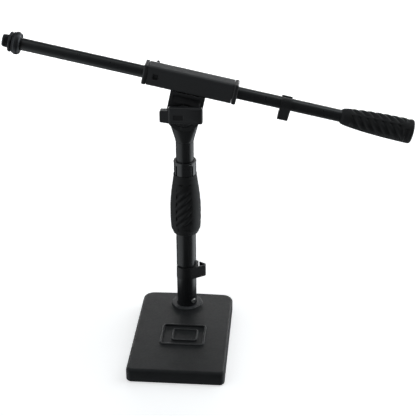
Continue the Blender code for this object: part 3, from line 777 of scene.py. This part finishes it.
# ---------------- twist clutch

def collet():
    inner, outer, low, high = turned_size("clutch_collet", POST)
    sleeve = 0.0140
    flange_low = high - 0.0025
    profile = fillet([
        (inner, low, 0.0003),
        (sleeve, low, 0.0003),
        (sleeve, flange_low, 0.0004),
        (outer, flange_low + 0.0003, 0.0004),
        (outer, high, 0.0007),
        (inner, high, 0.0005),
    ], steps=4)
    body = new_object("collet_turned", revolve(profile), POST)
    slots = 4
    half = 0.0012
    for number in range(slots // 2):
        bearing = math.tau * (number + 0.5) / slots
        blade = soft_block((-0.020, -half, low - 0.002), (0.020, half, flange_low - 0.0020), 0.0)
        cut(body, blade, Matrix.Rotation(bearing, 4, "Z"))
    soften(body, 0.00022, 2)
    dress(body, "base", "gloss_black", "clutch_collet")


def smoothstep(value, start, end):
    t = min(max((value - start) / (end - start), 0.0), 1.0)
    return t * t * (3.0 - 2.0 * t)


def from_panel(angle, bearing):
    """Angle from the middle of the nearest panel."""
    step = math.tau / PANELS
    return (angle - bearing + step / 2) % step - step / 2


def panel_offset(angle, radius, height, panel):
    """Offset from a grip's plain radius, zero or less: slanting grooves inside each panel."""
    bearing, half, low, high, pitch, slant = panel
    off = from_panel(angle, bearing)
    inside = 1.0 - smoothstep(abs(off), half - math.radians(3.5), half)
    inside *= smoothstep(height, low, low + 0.0030) * (1.0 - smoothstep(height, high - 0.0030, high))
    if inside <= 0.0:
        return 0.0
    phase = ((height - low) / pitch - slant * off * radius / pitch) % 1.0
    rib = (0.5 - 0.5 * math.cos(math.tau * phase)) ** 0.7
    return inside * RIB_DEPTH * (rib - 1.0)


def recess_offset(angle, height, panel, low, high):
    """A small plain pocket at the end of each panel."""
    bearing, half = panel[:2]
    off = from_panel(angle, bearing)
    inside = 1.0 - smoothstep(abs(off), half * 0.72, half * 0.78)
    inside *= smoothstep(height, low, low + 0.0006) * (1.0 - smoothstep(height, high - 0.0006, high))
    return -0.0007 * inside


def dense(line, spacing):
    """Adds points to a turned outline so that none are further apart than the spacing."""
    points = []
    for start, end in zip(line, line[1:]):
        count = max(1, math.ceil(math.dist(start, end) / spacing))
        for step in range(count):
            t = step / count
            points.append((start[0] + (end[0] - start[0]) * t, start[1] + (end[1] - start[1]) * t))
    points.append(tuple(line[-1]))
    return points


def grip_surface(skin, panel, pocket, least, start=-math.inf):
    """Ribs and end pockets on a grip's outer skin, from a least radius and a starting height."""
    kept = {(round(radius, 7), round(height, 7)) for radius, height in skin}

    def reach(angle, radius, height):
        if (round(radius, 7), round(height, 7)) not in kept or radius < least or height < start:
            return radius
        rise = panel_offset(angle, radius, height, panel)
        return radius + rise + recess_offset(angle, height, panel, *pocket)

    return reach


def clutch_grip():
    inner, outer, low, high = turned_size("clutch_grip", POST)
    collet_bore = 0.0143
    outside = smooth_line([
        (0.0169, low + 0.0030),
        (0.0175, low + 0.0055),
        (0.0186, low + 0.0070),
        (0.0192, low + 0.0145),
        (outer, low + 0.0235),
        (outer, low + 0.0365),
        (0.0191, low + 0.0445),
        (0.0185, low + 0.0515),
        (0.0178, low + 0.0585),
        (0.0168, low + 0.0655),
        (0.0157, low + 0.0725),
        (0.0153, low + 0.0765),
        (0.01475, high - 0.0038),
        (0.01475, high - 0.0005),
    ], 6)
    foot = fillet([
        (inner, low, 0.0004),
        (0.0148, low, 0.0010),
        (0.0162, low + 0.0010, 0.0008),
        (0.0169, low + 0.0030),
    ], closed=False)
    skin = dense(foot + [(min(point[0], outer), point[1]) for point in outside[1:]], 0.0006)
    inside = [(0.0146, high), (collet_bore, high), (collet_bore, 0.1984), (0.0160, 0.1984), (0.0167, 0.1912),
              (0.0167, 0.1457), (inner, 0.1457)]
    panel = (CLUTCH_PANEL_BEARING, CLUTCH_PANEL_HALF, low + 0.0135, high - 0.0085, CLUTCH_RIB_PITCH, 0.86)
    surface = grip_surface(skin, panel, (low + 0.0080, low + 0.0125), 0.0146, low + 0.002)
    grip = new_object("clutch_grip_skin", revolve(skin + inside, GRIP_STEPS, surface), POST)
    dress(grip, "clutch", "soft_grip", "clutch_grip", flat_parts=False)


def weight_grip():
    _, _, low, high = turned_size("counterweight_grip", BOOM_AXIS)
    tube_low = turned_size("boom_tube", BOOM_AXIS)[3]
    bore = turned_size("boom_tube", BOOM_AXIS)[1] + GAP
    outside = smooth_line([
        (0.0086, low + 0.0004),
        (0.0099, low + 0.0034),
        (0.0113, low + 0.0124),
        (0.0129, low + 0.0290),
        (0.0140, low + 0.0480),
        (0.0145, low + 0.0640),
        (0.0148, high - 0.0075),
    ], 6)
    corner = [(0.0148, high - 0.0075), (0.0148, high, 0.0034), (0.0, high - 0.0004)]
    end = fillet(corner, steps=8, closed=False)
    skin = dense([(0.0082, low)] + [tuple(point) for point in outside] + end[1:-1], 0.0006)
    inside = [(0.0, high - 0.0045), (0.0122, high - 0.0045), (0.0124, high - 0.0047),
              (0.0124, tube_low + 0.040), (0.0108, tube_low - 0.0003), (bore, tube_low - 0.0003), (bore, low)]
    panel = (WEIGHT_PANEL_BEARING, WEIGHT_PANEL_HALF, low + 0.0100, high - 0.0110, WEIGHT_RIB_PITCH, 0.75)
    surface = grip_surface(skin, panel, (high - 0.0100, high - 0.0050), 0.0086)
    profile = list(reversed(inside)) + skin + [(0.0, high)]
    grip = new_object("counterweight_skin", revolve(profile, GRIP_STEPS, surface), BOOM_AXIS)
    dress(grip, "boom", "soft_grip", "counterweight_grip", flat_parts=False)


# ---------------- yoke and tilt head

def cheek_sweep(radius, limit):
    """Outline of the room that the head's cheeks need as they tilt to both limits."""
    reach = 0.032
    touch = math.pi / 2 - limit
    outline = arc((0.0, 0.0), radius, -math.pi / 2 - touch, -math.pi / 2 + touch, 40)
    edge_x = radius * math.sin(touch) + reach * math.cos(touch)
    edge_y = -radius * math.cos(touch) + reach * math.sin(touch)
    return outline + [(edge_x, edge_y), (edge_x, reach), (-edge_x, reach), (-edge_x, edge_y)]


def yoke():
    low, high = span("yoke", POST)
    pivot_z = PIVOT.translation.z
    spigot = turned_size("upper_tube", POST)[0] - GAP
    seat = turned_size("upper_tube", POST)[3] + GAP
    levels = [
        (seat, 0.0110, 0.0110, 2.0),
        (seat + 0.0008, 0.0115, 0.0113, 2.0),
        (0.2570, 0.0120, 0.0112, 2.1),
        (0.2610, 0.0130, 0.0110, 2.3),
        (0.2662, 0.0145, 0.0108, 2.5),
        (0.2716, 0.0160, 0.0106, 2.8),
        (0.2765, 0.0172, 0.0106, 3.1),
        (0.2810, 0.0178, 0.0106, 3.2),
    ]
    rings = [[(x, y, low.z) for x, y in superellipse(spigot, spigot, 2.0)],
             [(x, y, seat) for x, y in superellipse(spigot, spigot, 2.0)]]
    for height, half_width, half_depth, power in smooth_line(levels, 4):
        rings.append([(x, y, height) for x, y in superellipse(half_width, half_depth, power)])
    neck = new_object("yoke_moulding", loft(rings), POST)
    radius = high.z - pivot_z
    half_web = 0.0132
    shoulder = math.acos(half_web / radius)
    tongue = arc((0.0, 0.0), radius, -shoulder, math.pi + shoulder, 56)
    tongue += [(-half_web, -0.022), (half_web, -0.022)]
    at_pivot = Matrix.Translation((0.0, 0.0, pivot_z)) @ FACING_FRONT
    add(neck, prism(tongue, -0.008, 0.008), at_pivot)
    tongue_half = 0.0056
    head_radius = span("tilt_head", PIVOT)[1].x
    for side in (-1, 1):
        near, far = sorted((side * tongue_half, side * 0.014))
        cut(neck, prism(cheek_sweep(head_radius + CHEEK_CLEARANCE, CHEEK_SWEEP), near, far), at_pivot)
    cut(neck, rod(PIVOT_BORE, -0.03, 0.03), at_pivot)
    soften(neck, 0.00035, 2, math.radians(35))
    dress(neck, "mast", "moulded_black", "yoke")


def tilt_head():
    _, high = span("tilt_head", PIVOT)
    radius = high.x
    depth = high.y
    outline = arc((0.0, 0.0), radius, math.pi, math.tau, 56) + [(radius, high.z), (-radius, high.z)]
    head = new_object("tilt_head_moulding", prism(outline, -depth, depth), PIVOT, FACING_FRONT)
    slot_half = 0.0072
    saddle_low = 0.0161
    cut(head, soft_block((-0.023, -slot_half, -0.023), (0.023, slot_half, saddle_low), 0.0))
    for side in (-1, 1):
        offset = side * (depth + SCOOP_RADIUS - SCOOP_DEPTH)
        at_groove = Matrix.Translation((0.0, offset, SCOOP_HEIGHT)) @ ALONG_X
        cut(head, rod(SCOOP_RADIUS, -SCOOP_HALF, SCOOP_HALF, 0.003, ROUND), at_groove)
    cut(head, rod(PIVOT_BORE, -0.02, 0.02), FACING_FRONT)
    cut(head, rod(0.0156, 0.0094, 0.012, steps=ROUND), FACING_FRONT)
    for side in (-1, 1):
        hole = rod(SADDLE_SCREW_HOLE, saddle_low - 0.001, high.z + 0.001)
        cut(head, hole, Matrix.Translation((side * SADDLE_SCREW_REACH, 0.0, 0.0)))
    soften(head, 0.0006, 3, math.radians(35))
    dress(head, "head", "moulded_black", "tilt_head")


def tilt_lever():
    """A T-lever whose left arm is set back a little and tapers, with a shallow pocket in its face."""
    place = PIVOT_AXIS @ Matrix.Rotation(BOOM_LEAN, 4, "Z")
    low, high = span("tilt_lever", place)
    front = high.z
    body = soft_block((-0.0175, -0.0074, 0.0132), (high.x, high.y, front), 0.0024, 5)
    lever = new_object("tilt_lever_moulding", body, place)
    arm = [(low.x, -0.0050, 0.0018), (low.x + 0.0010, -0.0058, 0.0010), (-0.013, -0.0076), (-0.013, 0.0091),
           (low.x, 0.0091, 0.0022)]
    add(lever, prism(fillet(arm, 5), 0.0114, front - 0.0014))
    hub = [(0.0, low.z), (0.0135, low.z, 0.0003), (0.0135, 0.0138, 0.0004), (0.0, 0.0138)]
    add(lever, revolve(fillet(hub, closed=False)))
    cut(lever, soft_block((-0.0118, -0.0028, front - 0.0008), (0.0012, 0.0042, front + 0.004), 0.0008, 3))
    cut(lever, rod(PIVOT_BORE, 0.010, 0.020))
    cut(lever, prism(hexagon(0.0137), 0.0137, 0.0188))
    soften(lever, 0.0003, 2, math.radians(40))
    dress(lever, "lever", "moulded_black", "tilt_lever")


# ---------------- clamp housing and lock

def clamp_housing():
    low, high = span("clamp_housing", BOOM)
    bore = 0.0091
    half_depth = -span("end_bush_left", BOOM)[0].y - 0.0006
    half_height = high.z
    outline = rounded_rectangle(2 * half_height, 2 * half_depth, 0.0032, 8)
    shell = new_object("clamp_housing_moulding", prism(outline, low.x, high.x), BOOM, ALONG_X)
    lock = Matrix.Translation((BOOM.inverted() @ LOCK_AXIS.translation)) @ FACING_FRONT
    rear = -high.y
    add(shell, revolve(fillet([(0.0, -0.0095), (0.0092, -0.0095), (0.0080, -half_depth - 0.0004),
                               (0.0076, rear, 0.0006), (0.0, rear)], closed=False), SMALL_ROUND), lock)
    cut(shell, rod(bore, low.x - 0.001, high.x + 0.001, steps=ROUND), ALONG_X)

    def window_at(inset):
        size = 2 * (WINDOW_HALF - inset)
        return rounded_rectangle(size, size, 0.0007 - inset, 4)

    chamfer = 0.0002
    window = [(0.0, 0.006), (0.0, half_depth - chamfer), (-chamfer, half_depth), (-chamfer, 0.014)]
    cut(shell, stack(window_at, window), lock)
    cut(shell, rod(0.0053, -0.014, -0.006), lock)
    for side in (-1, 1):
        hole = rod(SADDLE_SCREW_HOLE, -half_height - 0.001, -0.006)
        cut(shell, hole, Matrix.Translation((side * SADDLE_SCREW_REACH, 0.0, 0.0)))
    soften(shell, 0.00045, 3, math.radians(35))
    dress(shell, "head", "moulded_black", "clamp_housing")


def end_bush(label, side):
    node = f"end_bush_{label}"
    low, high = span(node, BOOM)
    outer = low.x if side < 0 else high.x
    inner = outer - side * 0.0054
    sleeve_end = high.x if side < 0 else low.x
    left, right = sorted((outer, inner))
    flange = soft_block((left, low.y, low.z), (right, high.y, high.z), 0.0019, 5)
    bush = new_object(f"{node}_moulding", flange, BOOM)
    start, end = sorted((inner + side * 0.001, sleeve_end))
    add(bush, rod(0.0088, start, end, steps=ROUND), ALONG_X)
    boom_radius = turned_size("boom_tube", BOOM_AXIS)[1]
    mouth = outer - side * 0.0012
    bore = [(0.0, min(left, start) - 0.001), (boom_radius + GAP, min(left, start) - 0.001),
            (boom_radius + GAP, max(right, end) + 0.001), (0.0, max(right, end) + 0.001)]
    cut(bush, revolve(bore), ALONG_X)
    flare = [(0.0, mouth), (boom_radius + GAP - 0.0002, mouth), (boom_radius + 0.0016, outer + side * 0.0006),
             (0.0, outer + side * 0.0006)]
    cut(bush, revolve(flare), ALONG_X)
    soften(bush, 0.0002, 2, math.radians(40))
    dress(bush, "head", "moulded_black", node)


def anvil_and_shoe():
    low, high = span("anvil_pad", LOCK_AXIS)
    pad = new_object("anvil_pad_moulding", soft_block(low, high, 0.0003, 2), LOCK_AXIS)
    hollow = (high.x - 0.0006, high.y - 0.0006, high.z + 0.001)
    cut(pad, soft_block((-hollow[0], -hollow[1], high.z - 0.0011), hollow, 0.0))
    dress(pad, "head", "moulded_black", "anvil_pad")
    _, radius, start, end = turned_size("clamp_shoe", LOCK_AXIS)
    shoe = new_object("clamp_shoe_turned", rod(radius, start, end, 0.0003), LOCK_AXIS)
    dress(shoe, "head", "nylon", "clamp_shoe")


def wing_knob():
    """A wing knob whose two wings are waisted towards the hub."""
    knob_turn = tilt_free_place(LOCK_AXIS.translation)
    low, high = span("wing_knob", knob_turn)
    back, front = low.z, high.z
    hub = [(0.0, back), (0.0052, back, 0.0008), (0.0064, back + 0.0030, 0.002), (0.0066, front, 0.0004),
           (0.0, front)]
    hub_line = fillet(hub, steps=5, closed=False)
    knob = new_object("wing_knob_moulding", revolve(hub_line, 64), knob_turn)
    reach = max(high.x, high.y)
    for side in (-1, 1):
        rings = []
        for step in range(13):
            t = step / 12
            along = 0.0015 + (reach - 0.0015) * math.sin(t * math.pi / 2)
            narrow = math.sqrt(max(0.0, 1.0 - ((along - 0.0015) / (reach - 0.0015)) ** 4))
            half_width = max(0.0027 * narrow, 0.00005)
            half_depth = max(0.0042 * (0.86 + 0.14 * t) * narrow, 0.00005)
            centre = back + 0.0055
            points = superellipse(half_width, half_depth, 2.6, 32)
            rings.append([(x, side * along, centre + z) for x, z in points])
        add(knob, loft(rings))
    cut(knob, rod(0.0033, back + 0.0012, front + 0.001))
    dress(knob, "lock_knob", "moulded_black", "wing_knob", flat_parts=False)


def tilt_free_place(point):
    """A frame at a point whose Z axis faces the front and whose Y axis stands upright."""
    return Matrix.Translation(point) @ FACING_FRONT


def lock_stud():
    _, radius, low, high = turned_size("lock_stud", LOCK_AXIS)
    stud = new_object("lock_stud_threaded", threaded(radius, low, high, 0.001, 0.0003), LOCK_AXIS)
    dress(stud, "lock_knob", "zinc_steel", "lock_stud", flat_parts=False)


# ---------------- microphone end

def scallop(count, depth):
    """Shallow notches round a ring, as finger grips."""
    def shape(angle, radius, height):
        wave = abs(math.sin(angle * count / 2))
        return radius - depth * (1.0 - wave)
    return shape


def thread_adapter():
    inner, outer, low, high = turned_size("thread_adapter", BOOM_AXIS)
    thread_radius = 0.00794
    thread_end = turned_size("lock_ring", BOOM_AXIS)[3] + GAP
    tube_radius = turned_size("boom_tube", BOOM_AXIS)[1] + GAP
    tube_end = turned_size("boom_tube", BOOM_AXIS)[2]
    rows = 15 * 8
    tip = low + 0.0010
    profile = [(inner, low), (thread_radius - 0.0009, low)]
    profile += [(thread_radius, tip + (thread_end - tip) * row / rows) for row in range(rows + 1)]
    body = fillet([
        (0.0096, thread_end, 0.0003),
        (0.0096, thread_end + 0.0011, 0.0002),
        (0.0126, thread_end + 0.0011, 0.0004),
        (0.0126, thread_end + 0.0029, 0.0004),
        (outer, thread_end + 0.0040, 0.0006),
        (outer, high - 0.0034, 0.0010),
        (outer - 0.0006, high - 0.0016, 0.0008),
        (outer - 0.0021, high, 0.0006),
        (tube_radius, high, 0.0003),
        (tube_radius, tube_end - GAP),
        (inner, tube_end - GAP),
    ])
    notches = scallop(28, 0.0005)

    def reach(angle, radius, height):
        if abs(radius - thread_radius) < 1e-6:
            ends = (tip, thread_end)
            return thread_relief(radius, angle, height, *ends, THREAD_PITCH, THREAD_DEPTH, THREAD_PITCH)
        if radius > 0.0120 and height < thread_end + 0.0028:
            return notches(angle, radius, height)
        return radius

    adapter = new_object("thread_adapter_turned", revolve(profile + body, 112, reach), BOOM_AXIS)
    dress(adapter, "boom", "black_steel", "thread_adapter", flat_parts=False)


def lock_ring():
    inner, outer, low, high = turned_size("lock_ring", BOOM_AXIS)
    profile = fillet([
        (inner, low, 0.0003),
        (outer - 0.0008, low, 0.0003),
        (outer, low + 0.0008, 0.0004),
        (outer, high - 0.0008, 0.0004),
        (outer - 0.0008, high, 0.0003),
        (inner, high, 0.0003),
    ], steps=4)
    notches = scallop(36, 0.00035)

    def reach(angle, radius, height):
        return notches(angle, radius, height) if radius > outer - 0.0006 else radius

    ring = new_object("lock_ring_turned", revolve(profile, 288, reach), BOOM_AXIS)
    dress(ring, "mic_lock_ring", "black_steel", "lock_ring", flat_parts=False)


# ---------------- cable clips

def cable_clip(name, node, place, body, tube_node, tube_place):
    """A band that snaps over a tube, with flared tips at its mouth and a tapering loop for the cable."""
    strap = 0.0018
    low, high = span(node, place)
    tube_radius = turned_size(tube_node, tube_place)[1]
    outer = high.y
    apex_radius = 0.0030
    apex_distance = high.x - apex_radius
    lean = math.acos((outer - apex_radius) / apex_distance)
    apex = (apex_distance, 0.0)
    outline = arc((0.0, 0.0), outer, lean, math.tau - lean, 72) + arc(apex, apex_radius, -lean, lean, 20)
    clip = new_object(name, prism(outline, low.z, high.z), place)
    cut(clip, rod(tube_radius + GAP, low.z - 0.001, high.z + 0.001, steps=ROUND))
    inside = outer - strap
    spread = lean - math.acos(inside / outer)
    loop = arc(apex, apex_radius - strap, -lean, lean, 14) + arc((0.0, 0.0), outer, spread, -spread, 24)
    cut(clip, prism(loop, low.z - 0.001, high.z + 0.001))
    open_angle = math.radians(38)
    mouth = [(0.0, 0.0)] + arc((0.0, 0.0), outer * 1.5, math.pi - open_angle, math.pi + open_angle, 8)
    cut(clip, prism(mouth, low.z - 0.001, high.z + 0.001))
    middle_radius = (outer + tube_radius + GAP) / 2
    for side in (-1, 1):
        bearing = math.pi + side * open_angle
        tip = (middle_radius * math.cos(bearing), middle_radius * math.sin(bearing))
        bead = prism(arc(tip, 0.00105, 0.0, math.tau * 19 / 20, 19), low.z + 0.0002, high.z - 0.0002)
        add(clip, bead)
    slit_start = math.sqrt(outer ** 2 - inside ** 2) + 0.0012
    slit_low = (slit_start, inside - 0.0008, low.z - 0.001)
    slit_high = (slit_start + 0.0026, outer + 0.001, high.z + 0.001)
    cut(clip, soft_block(slit_low, slit_high, 0.0), Matrix.Rotation(lean - math.pi / 2, 4, "Z"))
    soften(clip, 0.00035, 3, math.radians(35))
    dress(clip, body, "clip_plastic", node)


# ---------------- studio

def studio():
    """A pale floor that sweeps up into a wall all round, under soft light."""
    flat = FLOOR_REACH - FLOOR_BEND
    profile = [(0.0, 0.0), (flat, 0.0)]
    for step in range(1, 16):
        angle = math.radians(6 * step)
        profile.append((flat + FLOOR_BEND * math.sin(angle), FLOOR_BEND - FLOOR_BEND * math.cos(angle)))
    rings = []
    for reach, height in profile:
        if reach < 1e-7:
            rings.append([(0.0, 0.0, height)])
        else:
            rings.append([(reach * math.cos(math.tau * s / 96), reach * math.sin(math.tau * s / 96), height)
                          for s in range(96)])
    bm = loft(rings)
    caps = [face for face in bm.faces if len(face.verts) > 4]
    bmesh.ops.delete(bm, geom=caps, context="FACES_ONLY")
    sweep = new_object("studio_floor", bm, Matrix.Identity(4))
    sweep.data.shade_smooth()
    sweep.data.materials.append(studio_white())
    sweep.visible_diffuse = False
    sweep.visible_glossy = False
    sweep.visible_shadow = False


def studio_white():
    made = Nodes("studio_white")
    patches = made.ranged(made.noise(0.4), 0.0, 1.0)
    made.link(made.blend(patches, (0.90, 0.90, 0.90), (0.92, 0.92, 0.92)), made.shader.inputs["Base Color"])
    made.shader.inputs["Roughness"].default_value = 0.9
    made.shader.inputs["Specular IOR Level"].default_value = 0.1
    made.shader.inputs["Emission Color"].default_value = (1.0, 1.0, 1.0, 1.0)
    made.shader.inputs["Emission Strength"].default_value = FLOOR_GLOW
    return made.material


def sun(name, direction, strength, spread):
    data = bpy.data.lights.new(name, "SUN")
    data.energy = strength
    data.angle = math.radians(spread)
    light = bpy.data.objects.new(name, data)
    light.rotation_euler = Vector(direction).to_track_quat("-Z", "Y").to_euler()
    bpy.context.scene.collection.objects.link(light)


def softbox(name, place, target, width, height, power):
    data = bpy.data.lights.new(name, "AREA")
    data.shape = "RECTANGLE"
    data.size = width
    data.size_y = height
    data.energy = power
    light = bpy.data.objects.new(name, data)
    light.location = place
    light.rotation_euler = (Vector(target) - Vector(place)).to_track_quat("-Z", "Y").to_euler()
    light.visible_camera = False
    bpy.context.scene.collection.objects.link(light)


def world_light():
    """Dim all round, brighter to the left and strongest behind on the right."""
    world = bpy.data.worlds.new("studio")
    world.use_nodes = True
    tree = world.node_tree

    def math_node(kind, operation, *values, output="Value"):
        """Output of a new math node that is fed with sockets or constants."""
        node = tree.nodes.new(kind)
        node.operation = operation
        for value, socket in zip(values, node.inputs):
            if isinstance(value, bpy.types.NodeSocket):
                tree.links.new(value, socket)
            else:
                socket.default_value = value
        return node.outputs[output]

    source = tree.nodes.new("ShaderNodeTexCoord").outputs["Generated"]
    flat = math_node("ShaderNodeVectorMath", "MULTIPLY", source, (1.0, 1.0, 0.0), output="Vector")
    level = math_node("ShaderNodeVectorMath", "NORMALIZE", flat, output="Vector")
    total = None
    for bearing, strength, near, far in WORLD_LOBES:
        angle = math.radians(bearing)
        aim = (math.sin(angle), -math.cos(angle), 0.0)
        lobe = tree.nodes.new("ShaderNodeMapRange")
        lobe.interpolation_type = "SMOOTHSTEP"
        lobe.inputs["From Min"].default_value = math.cos(math.radians(far))
        lobe.inputs["From Max"].default_value = math.cos(math.radians(near))
        lobe.inputs["To Min"].default_value = 0.0
        lobe.inputs["To Max"].default_value = strength
        tree.links.new(math_node("ShaderNodeVectorMath", "DOT_PRODUCT", level, aim), lobe.inputs["Value"])
        result = lobe.outputs["Result"]
        total = result if total is None else math_node("ShaderNodeMath", "ADD", total, result)
    background = tree.nodes["Background"]
    tree.links.new(math_node("ShaderNodeMath", "ADD", total, WORLD_DIM), background.inputs["Strength"])
    background.inputs["Color"].default_value = WORLD_COLOUR
    bpy.context.scene.world = world


def lights():
    world_light()
    sun("overhead", (0.05, 0.15, -1.0), 0.12, 60)
    softbox("rear_box", (0.1, 1.5, 1.15), (0.0, 0.0, 0.3), 1.8, 0.9, 1.5)
    softbox("low_backdrop", (0.0, 1.9, 0.30), (0.0, 0.0, 0.3), 3.2, 0.36, 28.0)


def camera():
    data = bpy.data.cameras.new("camera")
    data.lens = CAMERA_LENS
    data.sensor_width = 36.0
    data.clip_start = 0.05
    data.clip_end = 30.0
    eye = bpy.data.objects.new("camera", data)
    eye.location = CAMERA_PLACE
    turn = Matrix.Rotation(CAMERA_YAW, 4, "Z") @ Matrix.Rotation(math.pi / 2 + CAMERA_PITCH, 4, "X")
    eye.rotation_euler = (turn @ Matrix.Rotation(CAMERA_ROLL, 4, "Z")).to_euler()
    bpy.context.scene.collection.objects.link(eye)
    bpy.context.scene.camera = eye
    bpy.context.scene.view_settings.view_transform = "Standard"


# ---------------- assembly

def build():
    camera()
    base_shell()
    plain_rings()
    hex_bolt("foot_bolt", "base_bolt", POST, "base", 0.017, 0.0058, 0.005)
    lower_tube()
    set_screw()
    collet()
    clutch_grip()
    yoke()
    tilt_head()
    hex_bolt("pivot_bolt", "tilt_bolt", PIVOT_AXIS, "head", 0.013, 0.0050, 0.004)
    tilt_lever()
    clamp_housing()
    end_bush("left", -1)
    end_bush("right", 1)
    anvil_and_shoe()
    wing_knob()
    lock_stud()
    thread_adapter()
    lock_ring()
    weight_grip()
    cable_clip("post_clip_moulding", "post_cable_clip", POST, "post_clip", "lower_tube", POST)
    cable_clip("boom_clip_moulding", "boom_cable_clip", BOOM_AXIS, "boom_clip", "boom_tube", BOOM_AXIS)
    finish_kept_nodes()
    studio()
    lights()


build()
